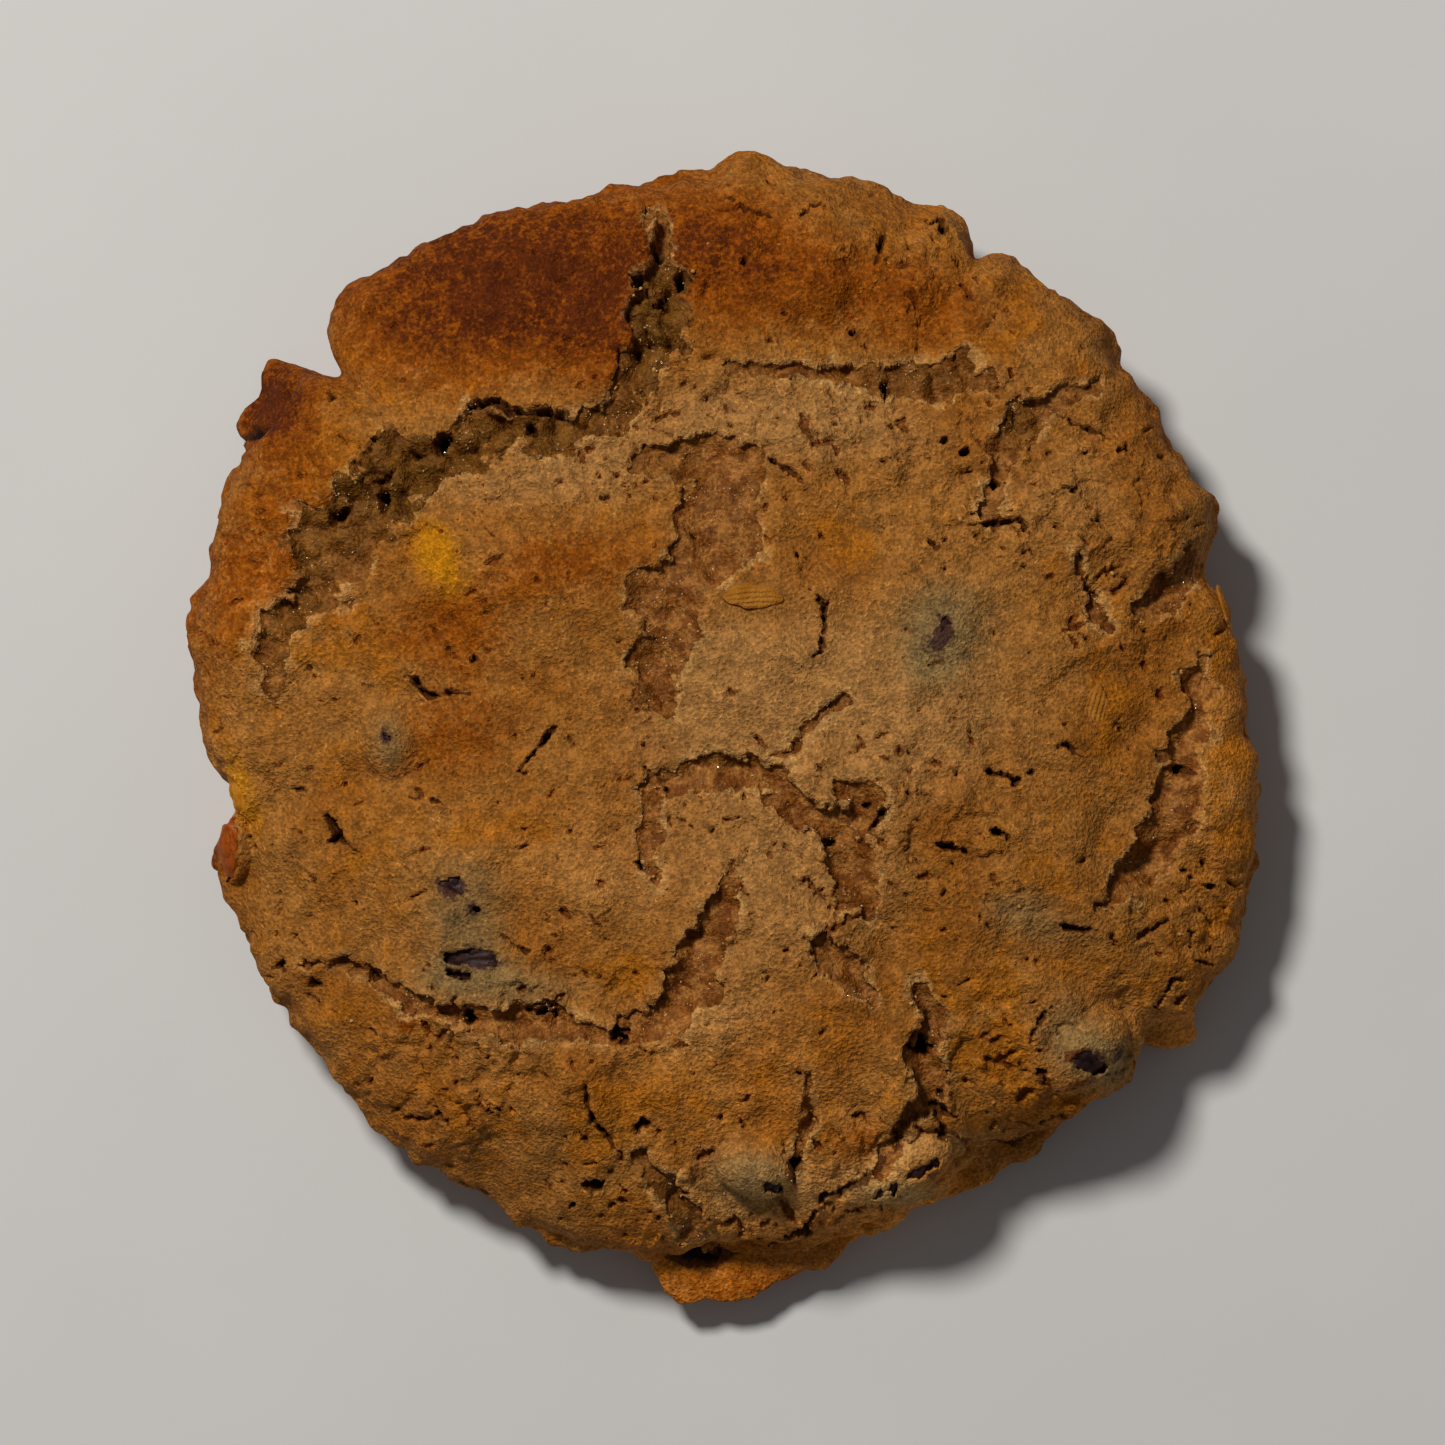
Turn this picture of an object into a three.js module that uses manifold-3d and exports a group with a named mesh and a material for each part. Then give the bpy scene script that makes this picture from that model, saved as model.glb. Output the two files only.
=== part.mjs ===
// A thick, craggy oatmeal raisin cookie: one baked solid with its oat flakes on it, and the fruit
// that breaks through its crust. Millimetres, +Z up, origin on the table under the cookie's middle.
import * as THREE from 'three';
import Module from 'manifold-3d';
import { mergeVertices } from 'three/addons/utils/BufferGeometryUtils.js';

// The mesh of the baked body: rings of a hexagonal disc, 6 more triangles' sides in each.
const TOP_RINGS = 33;
const WALL_RINGS = 6;

// The outline seen from above: the crust's radius every 15 degrees, counter-clockwise from +X.
const CRUST_RADII = [
  44.9, 44.3, 45.5, 46.7, 46.4, 47.4, 47.6, 46.6, 48.3, 47.9, 47.4, 45.6,
  43.8, 44.4, 44.7, 44.3, 45.3, 46.3, 44.8, 44.8, 43.8, 45.8, 47.4, 46.8,
];
// Nubs and notches of the crust's edge: [degrees, half-width in degrees, millimetres outward].
const EDGE_NUBS = [
  [17.2, 2.6, -1.6], [24.4, 2.4, 1.6], [39.5, 5.5, -1.4], [46.0, 2.2, 0.2], [61.5, 1.6, -1.2],
  [66.5, 2.6, 1.2], [77.0, 4.0, 0.8], [87.4, 2.4, 1.6], [89.0, 7.0, -0.7], [130.0, 2.6, 1.4],
  [138.0, 1.6, -3.0], [144.0, 5.0, -2.0], [163.5, 2.0, -0.8], [171.0, 5.5, 1.6], [189.0, 3.6, -2.3],
  [211.0, 9.0, 0.6], [213.0, 1.8, -0.8], [235.0, 4.0, 0.7], [243.0, 3.0, -0.6], [302.0, 5.0, -1.4],
  [325.0, 3.4, -2.0], [335.0, 5.0, 0.7],
];
// How far the foot, the thin skirt that spread on the tray, reaches past the crust's edge.
const FOOT_INSET = 2.2;
const FOOT_SKIRTS = [
  [141.5, 2.2, 1.3], [144.5, 6.0, 5.2], [194.0, 2.6, 2.4], [269.0, 7.0, 5.9], [279.7, 3.7, 1.7],
  [282.0, 12.0, 1.4], [302.5, 8.0, 3.4], [325.5, 2.6, 4.6],
];
// Where the foot stands higher under a lower shoulder: [degrees, half-width in degrees, share].
const FOOT_RISES = [[285, 40, 1.0]];
const SHOULDER_DROP = 0.35;
const EDGE_RAGGED = 0.35;
const MEAN_RADIUS = 46;

// The section from the crown to the shoulder, and down the wall: [share of the radius, height].
const TOP_SECTION = [
  [0, 19.6], [0.2, 19.5], [0.4, 19.0], [0.6, 18.0], [0.76, 16.6], [0.87, 14.9], [0.94, 12.9],
  [0.98, 10.8], [1, 8.4],
];
const WALL_SECTION = [[1, 8.4], [0.995, 6.2], [0.983, 4.0], [0.986, 2.2], [0.978, 0.9], [0.955, 0]];
// How uneven the rim is in height, how lumpy the wall, and the least height above the flat bottom.
const RIM_UNEVEN = 0.3;
const WALL_LUMPS = 1.3;
const FOOT_CLEAR = 0.15;

// Broad swells of the crust: [x, y, radius across, radius along, height].
const SWELLS = [
  [-19, 35, 13, 8, 1.5], [-13, 9, 11, 8, 1.5], [7, 36, 9, 7, 1.0], [24, 34, 8, 7, 0.8],
  [17, 5, 11, 10, 0.9], [3, 5, 5, 6, 0.9], [27, 18, 6, 5, 0.6], [4, -26, 8, 9, 0.9],
  [-18, -9, 11, 8, 0.8], [-12, -33, 9, 6, 0.9], [27, -26, 8, 7, 0.9], [-39, 5, 5, 13, 1.2],
  [42, -5, 4, 13, 1.4], [8, -39, 8, 4, 0.8], [-33, 24, 6, 6, 0.9], [-8, 20, 9, 4, -0.6],
];

// Fissures, where the crust has parted and the moist crumb shows: depth, height of the lip beside
// it, how far the floor climbs to the crust on its open side (0 to 1), and path [x, y, half-width].
const FISSURES = {
  ledge_northwest: [1.8, 0.6, 0.7, [
    [-37.6, 2.8, 0.9], [-37.8, 6.9, 1.4], [-35.6, 9.2, 1.4], [-33.6, 11.4, 2.2], [-33.0, 14.8, 3.4],
    [-28.7, 18.3, 2.8], [-27.0, 21.0, 2.9], [-23.5, 21.8, 1.9], [-20.4, 23.6, 2.4], [-16.7, 24.4, 1.4],
    [-14.7, 23.8, 2.0], [-12.2, 24.3, 1.4], [-9.6, 25.4, 1.8], [-7.8, 27.4, 1.5],
  ]],
  crack_north: [2.4, 0.4, 0.3, [
    [-5.3, 42.2, 0.5], [-5.0, 39.4, 1.0], [-5.6, 36.9, 1.8], [-5.2, 34.6, 2.4], [-5.5, 31.4, 2.1],
    [-7.4, 28.8, 1.6],
  ]],
  recess_centre: [1.1, 0.3, 0.6, [
    [-6.6, 21.4, 0.9], [-3.6, 22.2, 1.7], [0.8, 20.4, 3.0], [-0.2, 17.6, 3.4], [-0.6, 15.0, 3.7],
    [-2.7, 12.0, 2.7], [-4.8, 9.6, 3.3], [-4.5, 6.6, 2.4], [-5.6, 4.4, 2.0], [-5.2, 2.0, 1.6],
    [-4.3, 0.2, 0.6],
  ]],
  recess_south: [1.2, 0.3, 0.7, [
    [-6.6, -6.1, 0.6], [-3.8, -5.1, 1.2], [0.2, -4.5, 1.7], [4.0, -5.0, 1.6], [7.6, -8.2, 1.3],
    [10.6, -11.2, 2.0], [11.2, -14.4, 1.8], [12.0, -16.6, 0.8],
  ]],
  pocket_south: [1.3, 0.3, 0.5, [[9.8, -5.4, 0.6], [11.9, -6.6, 1.5], [11.8, -9.0, 1.2]]],
  slot_south: [0.9, 0.2, 0.3, [
    [4.5, -3.6, 0.3], [6.0, -2.6, 0.5], [7.3, -0.9, 0.5], [8.6, 0.6, 0.5], [10.2, 1.6, 0.7],
  ]],
  branch_south: [1.0, 0.3, 0.6, [[-6.0, -6.4, 0.8], [-6.4, -10.0, 1.1], [-5.6, -14.2, 0.6]]],
  recess_southwest: [1.3, 0.3, 0.7, [
    [0.8, -12.4, 0.6], [0.5, -16.0, 1.4], [-1.9, -19.4, 2.0], [-2.6, -22.4, 2.0], [-4.4, -25.6, 1.7],
    [-8.8, -26.6, 0.8],
  ]],
  crack_southwest: [2.0, 0.4, 0.5, [
    [-35.4, -20.6, 0.4], [-31.4, -20.4, 0.6], [-28.4, -22.8, 0.7], [-21.4, -24.9, 0.9],
    [-17.6, -25.8, 1.6], [-14.8, -25.6, 1.6], [-11.4, -26.0, 0.8], [-8.8, -26.6, 0.8],
  ]],
  groove_east: [1.7, 0.4, 0.7, [
    [40.2, 5.2, 0.5], [39.6, 3.0, 1.0], [39.8, 0.4, 1.0], [38.4, -2.6, 1.2], [38.0, -5.6, 1.5],
    [37.7, -8.2, 1.8], [36.2, -11.4, 1.8], [34.0, -13.8, 1.4], [32.2, -15.4, 0.9],
  ]],
  ledge_east: [1.2, 0.4, 0.7, [[39.2, 14.4, 0.6], [38.9, 12.4, 1.4], [37.2, 10.6, 1.5], [34.6, 9.0, 0.8]]],
  crack_east: [1.4, 0.3, 0, [
    [29.7, 13.8, 0.4], [30.2, 11.6, 0.5], [31.2, 10.2, 0.6], [31.2, 8.6, 0.45], [32.4, 7.7, 0.3],
  ]],
  ledge_northeast: [1.1, 0.4, 0.7, [
    [1.0, 29.3, 0.4], [8.5, 29.1, 0.6], [13.6, 28.4, 1.4], [17.6, 28.1, 1.7], [20.6, 29.6, 1.2],
    [23.0, 28.0, 0.7],
  ]],
  pocket_northeast: [1.3, 0.4, 0.7, [
    [31.6, 28.4, 0.4], [28.4, 26.8, 0.9], [25.0, 24.7, 2.0], [23.4, 22.2, 1.2], [22.9, 19.8, 0.8],
    [22.3, 17.0, 1.0],
  ]],
  recess_triangle: [1.1, 0.3, 0.6, [[8.4, -18.9, 1.3], [10.4, -21.2, 1.3], [12.8, -23.8, 0.5]]],
  crack_southeast: [2.0, 0.4, 0.5, [
    [15.8, -21.8, 0.5], [17.6, -24.4, 0.8], [17.0, -28.2, 1.5], [17.4, -31.0, 1.3], [15.0, -34.4, 0.8],
    [13.2, -37.8, 0.6],
  ]],
  crack_south: [1.5, 0.3, 0, [[7.2, -29.8, 0.35], [7.3, -34.0, 0.5], [5.8, -38.0, 0.7]]],
  notch_south: [1.4, 0.3, 0.6, [[-7.2, -36.8, 0.7], [-4.2, -39.4, 1.2], [-2.6, -42.4, 0.9]]],
  lip_southeast: [1.1, 0.4, 0.7, [[19.4, -34.4, 0.4], [21.8, -36.2, 0.7], [27.0, -35.8, 0.6]]],
};
// The side to which the floors climb, in degrees from +X.
const OPEN_SIDE = -50;
const FISSURE_SLOPE = 0.9;
const LIP_REACH = 1.8;
const WANDER = 0.5;

// Oat flakes baked onto the crust: [x, y, length, width, degrees from +X].
const OAT_FLAKES = [
  [2.5, 10.6, 5.4, 2.6, 4], [42.6, 9.8, 4.6, 2.2, 98], [-30.5, -8.5, 5.2, 3.2, 35],
  [26.8, 7.6, 5.0, 3.0, 120], [-6.0, -30.4, 5.2, 3.2, 160], [12.6, 20.2, 5.4, 3.0, 15],
  [30.0, -9.6, 5.0, 3.0, 70], [31.4, 0.8, 4.0, 2.2, 75],
];
const FLAKE_RISE = 0.6;

// The fruit: middle in plan, half-axes, turn about its own upright axis, and how deep it is sunk.
const FRUIT_GAP = 0.3;
const RAISIN_COLOUR = 0x2a1a16;
const SULTANA_COLOUR = 0xa8761c;
const FRUIT = {
  raisin_east: { at: [18.4, 7.3], half: [4.0, 3.2, 2.2], turn: 70, sink: 1.8, colour: RAISIN_COLOUR },
  raisin_west: { at: [-28.3, -1.5], half: [3.6, 2.6, 2.0], turn: 100, sink: 1.6, colour: RAISIN_COLOUR },
  raisin_southwest_upper: {
    at: [-22.5, -14.0], half: [4.0, 2.8, 2.2], turn: 150, sink: 1.8, colour: RAISIN_COLOUR,
  },
  raisin_southwest_lower: {
    at: [-20.7, -20.2], half: [4.4, 2.8, 2.2], turn: 5, sink: 1.8, colour: RAISIN_COLOUR,
  },
  raisin_southeast: { at: [31.2, -28.6], half: [4.2, 3.0, 2.2], turn: 35, sink: 1.8, colour: RAISIN_COLOUR },
  raisin_south: { at: [15.4, -38.9], half: [4.6, 2.6, 2.0], turn: 28, sink: 1.6, colour: RAISIN_COLOUR },
  raisin_south_small: {
    at: [2.6, -38.4], half: [3.2, 2.2, 1.8], turn: 160, sink: 1.4, colour: RAISIN_COLOUR,
  },
  sultana_northwest: {
    at: [-24.0, 13.3], half: [3.6, 3.0, 2.0], turn: 20, sink: 1.6, colour: SULTANA_COLOUR,
  },
  sultana_west: { at: [-40.6, -4.4], half: [4.4, 2.6, 2.2], turn: 95, sink: 1.2, colour: SULTANA_COLOUR },
  peel_west: { at: [-41.6, -11.0], half: [2.6, 1.5, 1.2], turn: 80, sink: 0.3, colour: 0x8a3a08 },
};

const wasm = await Module();
wasm.setup();

function radians(degrees) {
  return (degrees * Math.PI) / 180;
}

// A bell of height 1 at 0, used for nubs, swells and lips.
function bell(distance) {
  return Math.exp(-(distance ** 2));
}

// The same with a flat top and steeper sides, used for skirts and flakes.
function plateau(distance) {
  return Math.exp(-(distance ** 4));
}

function smoothstep(low, high, value) {
  const share = THREE.MathUtils.clamp((value - low) / (high - low), 0, 1);
  return share * share * (3 - 2 * share);
}

// A repeatable whole number for a cell of a grid.
function scrambled(i, j, k, seed) {
  let mixed = Math.imul(i, 374761393) ^ Math.imul(j, 668265263);
  mixed ^= Math.imul(k, 2246822519) + seed * 40503;
  mixed = Math.imul(mixed ^ (mixed >>> 15), 2246822519);
  mixed = Math.imul(mixed ^ (mixed >>> 13), 3266489917);
  return (mixed ^ (mixed >>> 16)) >>> 0;
}

// Smooth noise from -1 to 1, with swells of the given size: a random slope at each corner of a cell.
function noise(x, y, z, size, seed) {
  const place = [x / size, y / size, z / size];
  const base = place.map(Math.floor);
  const inside = place.map((value, axis) => value - base[axis]);
  const fade = inside.map((value) => value ** 3 * (value * (value * 6 - 15) + 10));
  let total = 0;
  for (let corner = 0; corner < 8; corner += 1) {
    const step = [(corner >> 2) & 1, (corner >> 1) & 1, corner & 1];
    const mixed = scrambled(base[0] + step[0], base[1] + step[1], base[2] + step[2], seed);
    let weight = 1;
    let value = 0;
    for (let axis = 0; axis < 3; axis += 1) {
      const slope = ((mixed >>> (10 * axis)) & 1023) / 511.5 - 1;
      weight *= step[axis] ? fade[axis] : 1 - fade[axis];
      value += slope * (inside[axis] - step[axis]);
    }
    total += weight * value;
  }
  return 1.5 * total;
}

// A closed smooth curve through the radii, which stand at equal turns.
function radiusFrom(radii, angle) {
  const count = radii.length;
  const place = (THREE.MathUtils.euclideanModulo(angle, 2 * Math.PI) / (2 * Math.PI)) * count;
  const index = Math.floor(place);
  const share = place - index;
  const [before, from, to, after] = [-1, 0, 1, 2].map((step) => radii[(index + step + count) % count]);
  const even = 2 * from + (to - before) * share;
  const square = (2 * before - 5 * from + 4 * to - after) * share ** 2;
  const cube = (3 * from - before - 3 * to + after) * share ** 3;
  return (even + square + cube) / 2;
}

function nubsAt(nubs, angle, shape) {
  let sum = 0;
  for (const [degrees, halfWidth, out] of nubs) {
    const turn = THREE.MathUtils.euclideanModulo(angle - radians(degrees) + Math.PI, 2 * Math.PI) - Math.PI;
    sum += out * shape(turn / radians(halfWidth));
  }
  return sum;
}

function crustRadius(angle) {
  const ragged = EDGE_RAGGED * noise(MEAN_RADIUS * Math.cos(angle), MEAN_RADIUS * Math.sin(angle), 0, 2.6, 3);
  return radiusFrom(CRUST_RADII, angle) + nubsAt(EDGE_NUBS, angle, bell) + ragged;
}

function footRadius(angle) {
  return crustRadius(angle) - FOOT_INSET + nubsAt(FOOT_SKIRTS, angle, plateau);
}

// Distance from a point to a fissure's edge, below 0 inside it, and how far across it the point
// lies towards the open side: -1 at the closed edge, 0 in the middle, 1 at the open edge.
function gapTo(path, x, y) {
  let gap = Infinity;
  let side = 0;
  for (let i = 1; i < path.length; i += 1) {
    const [ax, ay, aw] = path[i - 1];
    const [bx, by, bw] = path[i];
    const along = ((x - ax) * (bx - ax) + (y - ay) * (by - ay)) / ((bx - ax) ** 2 + (by - ay) ** 2);
    const share = THREE.MathUtils.clamp(along, 0, 1);
    const dx = x - ax - (bx - ax) * share;
    const dy = y - ay - (by - ay) * share;
    const half = aw + (bw - aw) * share;
    if (Math.hypot(dx, dy) - half < gap) {
      gap = Math.hypot(dx, dy) - half;
      side = (dx * Math.cos(radians(OPEN_SIDE)) + dy * Math.sin(radians(OPEN_SIDE))) / half;
    }
  }
  return { gap, side };
}

// How far the crust stands above or below the smooth dome at a point of the plan.
function relief(x, y) {
  let rise = 0;
  for (const [cx, cy, rx, ry, height] of SWELLS) {
    rise += height * bell(Math.hypot((x - cx) / rx, (y - cy) / ry));
  }
  for (const [cx, cy, length, width, degrees] of OAT_FLAKES) {
    const turn = radians(degrees);
    const along = (x - cx) * Math.cos(turn) + (y - cy) * Math.sin(turn);
    const across = (y - cy) * Math.cos(turn) - (x - cx) * Math.sin(turn);
    rise += FLAKE_RISE * plateau(Math.hypot((2 * along) / length, (2 * across) / width));
  }
  const wx = x + WANDER * noise(x, y, 0, 2.7, 11);
  const wy = y + WANDER * noise(x, y, 0, 2.7, 47);
  let sunk = 0;
  let lip = 0;
  for (const [depth, edge, climb, path] of Object.values(FISSURES)) {
    const { gap, side } = gapTo(path, wx, wy);
    const open = climb * smoothstep(-0.5, 0.9, side);
    sunk = Math.max(sunk, depth * (1 - open) * smoothstep(FISSURE_SLOPE, -FISSURE_SLOPE, gap));
    lip = Math.max(lip, edge * (1 - open) * bell(Math.max(gap, 0) / LIP_REACH));
  }
  const crags = 0.9 * noise(x, y, 0, 9.3, 5) + 0.4 * noise(x, y, 0, 3.1, 9);
  return rise + lip + crags - sunk;
}

// Points of a section at equal steps: {share, height} with the outward normal {out, up}.
function spacedSection(section, rings, radius) {
  const corners = section.map(([share, height]) => new THREE.Vector2(share * radius, height));
  const curve = new THREE.SplineCurve(corners);
  const points = [];
  for (let i = 0; i <= rings; i += 1) {
    const point = curve.getPointAt(i / rings);
    const tangent = curve.getTangentAt(i / rings);
    points.push({ share: point.x / radius, height: point.y, out: -tangent.y, up: tangent.x });
  }
  return points;
}

const SHOULDER_HEIGHT = WALL_SECTION[0][1];
const topRings = spacedSection(TOP_SECTION, TOP_RINGS, MEAN_RADIUS);
const wallRings = spacedSection(WALL_SECTION, WALL_RINGS, MEAN_RADIUS).slice(1);
const rings = [...topRings, ...wallRings];

// A point of the baked surface, for one ring's section point and one angle.
function surfacePoint(ring, index, angle) {
  const onWall = index > TOP_RINGS;
  const raised = nubsAt(FOOT_RISES, angle, plateau);
  const footTop = (0.3 + 0.4 * raised) * SHOULDER_HEIGHT;
  const toFoot = onWall ? smoothstep(SHOULDER_HEIGHT, footTop, ring.height) : 0;
  const radius = THREE.MathUtils.lerp(crustRadius(angle), footRadius(angle) + 0.02 * MEAN_RADIUS, toFoot);
  const x = ring.share * radius * Math.cos(angle);
  const y = ring.share * radius * Math.sin(angle);
  const lumps = WALL_LUMPS * noise(x, y, ring.height, 5.3, 51);
  const rise = onWall ? lumps : THREE.MathUtils.lerp(relief(x, y), lumps, smoothstep(0.96, 1, ring.share));
  const uneven = 1 + RIM_UNEVEN * ring.share ** 3 * noise(x, y, 0, 24, 33);
  const height = ring.height * uneven * (1 - SHOULDER_DROP * raised * ring.share ** 6);
  return new THREE.Vector3(
    x + rise * ring.out * Math.cos(angle),
    y + rise * ring.out * Math.sin(angle),
    index === rings.length - 1 ? 0 : Math.max(height + rise * ring.up, FOOT_CLEAR),
  );
}

// The baked body: a hexagonal disc laid over dome, shoulder and wall, and closed by a flat bottom.
function bakedBody() {
  const positions = [];
  rings.forEach((ring, k) => {
    const count = Math.max(6 * k, 1);
    for (let j = 0; j < count; j += 1) {
      positions.push(...surfacePoint(ring, k, (2 * Math.PI * j) / count).toArray());
    }
  });
  const start = (k) => (k === 0 ? 0 : 1 + 3 * k * (k - 1));
  const faces = [];
  for (let k = 1; k < rings.length; k += 1) {
    for (let j = 0; j < 6 * k; j += 1) {
      const sector = Math.floor(j / k);
      const step = j % k;
      const outer = start(k) + j;
      const next = start(k) + ((j + 1) % (6 * k));
      const inner = start(k - 1) + ((sector * (k - 1) + step) % Math.max(6 * (k - 1), 1));
      faces.push(outer, next, inner);
      if (step < k - 1) {
        faces.push(next, start(k - 1) + ((sector * (k - 1) + step + 1) % (6 * (k - 1))), inner);
      }
    }
  }
  const last = rings.length - 1;
  const middle = positions.length / 3;
  positions.push(0, 0, 0);
  for (let j = 0; j < 6 * last; j += 1) {
    faces.push(start(last) + ((j + 1) % (6 * last)), start(last) + j, middle);
  }
  const geometry = new THREE.BufferGeometry();
  geometry.setAttribute('position', new THREE.Float32BufferAttribute(positions, 3));
  geometry.setIndex(faces);
  return geometry;
}

// Where a fruit lies: on the crust at its plan point, sunk along the dome's normal.
function placeFruit(mesh, { at, turn, sink }) {
  const [x, y] = at;
  const angle = Math.atan2(y, x);
  const share = Math.hypot(x, y) / crustRadius(angle);
  const ring = topRings.find((point) => point.share >= share) ?? topRings[TOP_RINGS];
  const normal = new THREE.Vector3(ring.out * Math.cos(angle), ring.out * Math.sin(angle), ring.up);
  const upright = new THREE.Quaternion().setFromUnitVectors(new THREE.Vector3(0, 0, 1), normal.normalize());
  const spin = new THREE.Quaternion().setFromAxisAngle(new THREE.Vector3(0, 0, 1), radians(turn));
  mesh.position.set(x, y, ring.height + relief(x, y)).addScaledVector(normal, -sink);
  mesh.quaternion.copy(upright).multiply(spin);
}

// A dried fruit: an ellipsoid with shallow wrinkles, grown all round by the given amount.
function fruitShape(half, grown) {
  const geometry = new THREE.SphereGeometry(1, 11, 7);
  const position = geometry.getAttribute('position');
  const point = new THREE.Vector3();
  for (let i = 0; i < position.count; i += 1) {
    point.fromBufferAttribute(position, i);
    const wrinkle = 1 + 0.12 * noise(point.x, point.y, point.z, 0.48, Math.round(10 * half[0]));
    const size = new THREE.Vector3(half[0] + grown, half[1] + grown, half[2] + grown);
    point.multiplyScalar(wrinkle).multiply(size);
    position.setXYZ(i, point.x, point.y, point.z);
  }
  geometry.deleteAttribute('normal');
  geometry.deleteAttribute('uv');
  return mergeVertices(geometry, 1e-4);
}

function solidOf(geometry) {
  return new wasm.Manifold(
    new wasm.Mesh({
      numProp: 3,
      vertProperties: Float32Array.from(geometry.getAttribute('position').array),
      triVerts: Uint32Array.from(geometry.getIndex().array),
    }),
  );
}

function geometryOf(solid) {
  const { vertProperties, triVerts } = solid.getMesh();
  const geometry = new THREE.BufferGeometry();
  geometry.setAttribute('position', new THREE.BufferAttribute(vertProperties, 3));
  geometry.setIndex(new THREE.BufferAttribute(triVerts, 1));
  geometry.computeVertexNormals();
  return geometry;
}

function fruitMesh(name, { half, colour }) {
  const material = new THREE.MeshStandardMaterial({ color: colour, roughness: 0.4, metalness: 0 });
  const geometry = fruitShape(half, 0);
  geometry.computeVertexNormals();
  const mesh = new THREE.Mesh(geometry, material);
  mesh.name = name;
  return mesh;
}

const cookie = new THREE.Group();
let body = solidOf(bakedBody());
for (const [name, fruit] of Object.entries(FRUIT)) {
  const mesh = fruitMesh(name, fruit);
  placeFruit(mesh, fruit);
  mesh.updateMatrixWorld();
  const pocket = fruitShape(fruit.half, FRUIT_GAP).applyMatrix4(mesh.matrixWorld);
  body = body.subtract(solidOf(pocket));
  cookie.add(mesh);
}
// A crumb that a pocket cuts off is dropped.
const whole = body.decompose().reduce((most, piece) => (piece.volume() > most.volume() ? piece : most));
const crust = new THREE.MeshStandardMaterial({ color: 0x94622f, roughness: 0.9, metalness: 0 });
const baked = new THREE.Mesh(geometryOf(whole), crust);
baked.name = 'cookie';
cookie.add(baked);

export default cookie;
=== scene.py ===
from math import atan, cos, pi, radians, sin

import bmesh
import bpy
import numpy as np
from mathutils import Matrix, Vector
from mathutils.bvhtree import BVHTree


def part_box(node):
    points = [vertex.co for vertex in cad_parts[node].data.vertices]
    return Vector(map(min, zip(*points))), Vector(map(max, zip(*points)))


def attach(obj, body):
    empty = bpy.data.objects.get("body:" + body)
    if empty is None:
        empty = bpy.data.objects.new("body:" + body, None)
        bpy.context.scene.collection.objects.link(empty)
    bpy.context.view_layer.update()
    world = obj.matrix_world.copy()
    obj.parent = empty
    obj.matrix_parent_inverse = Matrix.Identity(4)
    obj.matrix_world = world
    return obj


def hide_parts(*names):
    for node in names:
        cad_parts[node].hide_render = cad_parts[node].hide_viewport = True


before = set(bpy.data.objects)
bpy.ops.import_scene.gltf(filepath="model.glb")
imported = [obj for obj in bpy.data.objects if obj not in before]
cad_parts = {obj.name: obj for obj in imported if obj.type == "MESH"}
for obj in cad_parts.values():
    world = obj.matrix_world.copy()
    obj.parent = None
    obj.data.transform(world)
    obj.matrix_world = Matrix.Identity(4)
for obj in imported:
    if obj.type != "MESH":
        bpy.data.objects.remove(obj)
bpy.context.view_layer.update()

MM = 0.001


# ---- The table and the light ------------------------------------------------------------------
# A plain pale table under one soft lamp from the far left and a weak even sky. The camera looks
# almost straight down, from far enough that the cookie's height hardly changes its outline.

# The width that the camera sees, at a height over the table.
FRAME_WIDTH = 122.8 * MM
FRAME_HEIGHT = 9 * MM
CAMERA_DISTANCE = 0.8
CAMERA_TILT = radians(2.5)
LAMP_TURN = radians(128)
LAMP_RISE = radians(56)
LAMP_DISTANCE = 0.9
LAMP_SIZE = 0.17
LAMP_POWER = 6.9
SKY_STRENGTH = 0.11
TABLE_HALF = 1.5


def in_scene(name, data):
    """A new object of the scene, with its data."""
    piece = bpy.data.objects.new(name, data)
    bpy.context.scene.collection.objects.link(piece)
    return piece


camera_data = bpy.data.cameras.new("camera")
camera_data.sensor_width = 36
camera_data.angle = 2 * atan(FRAME_WIDTH / 2 / CAMERA_DISTANCE)
camera = in_scene("camera", camera_data)
camera.location = (
    0, -CAMERA_DISTANCE * sin(CAMERA_TILT), FRAME_HEIGHT + CAMERA_DISTANCE * cos(CAMERA_TILT))
camera.rotation_euler = (CAMERA_TILT, 0, 0)
camera_data.clip_start = 0.01
bpy.context.scene.camera = camera

lamp_data = bpy.data.lights.new("window_lamp", "AREA")
lamp_data.shape = "DISK"
lamp_data.size = LAMP_SIZE
lamp_data.energy = LAMP_POWER
lamp_data.color = (1.0, 0.97, 0.93)
lamp = in_scene("window_lamp", lamp_data)
towards_lamp = Vector((cos(LAMP_TURN) * cos(LAMP_RISE), sin(LAMP_TURN) * cos(LAMP_RISE), sin(LAMP_RISE)))
lamp.location = towards_lamp * LAMP_DISTANCE
lamp.rotation_euler = towards_lamp.to_track_quat("Z", "Y").to_euler()

sky = bpy.data.worlds.new("sky")
sky.use_nodes = True
sky.node_tree.nodes["Background"].inputs["Color"].default_value = (0.98, 0.98, 1.0, 1)
sky.node_tree.nodes["Background"].inputs["Strength"].default_value = SKY_STRENGTH
bpy.context.scene.world = sky
bpy.context.scene.view_settings.view_transform = "Standard"


def set_inputs(tree, node, values):
    """The node with some of its inputs linked or set, each given by its name or number."""
    for socket, value in values.items():
        if isinstance(value, bpy.types.NodeSocket):
            tree.links.new(value, node.inputs[socket])
        else:
            node.inputs[socket].default_value = value
    return node


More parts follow.
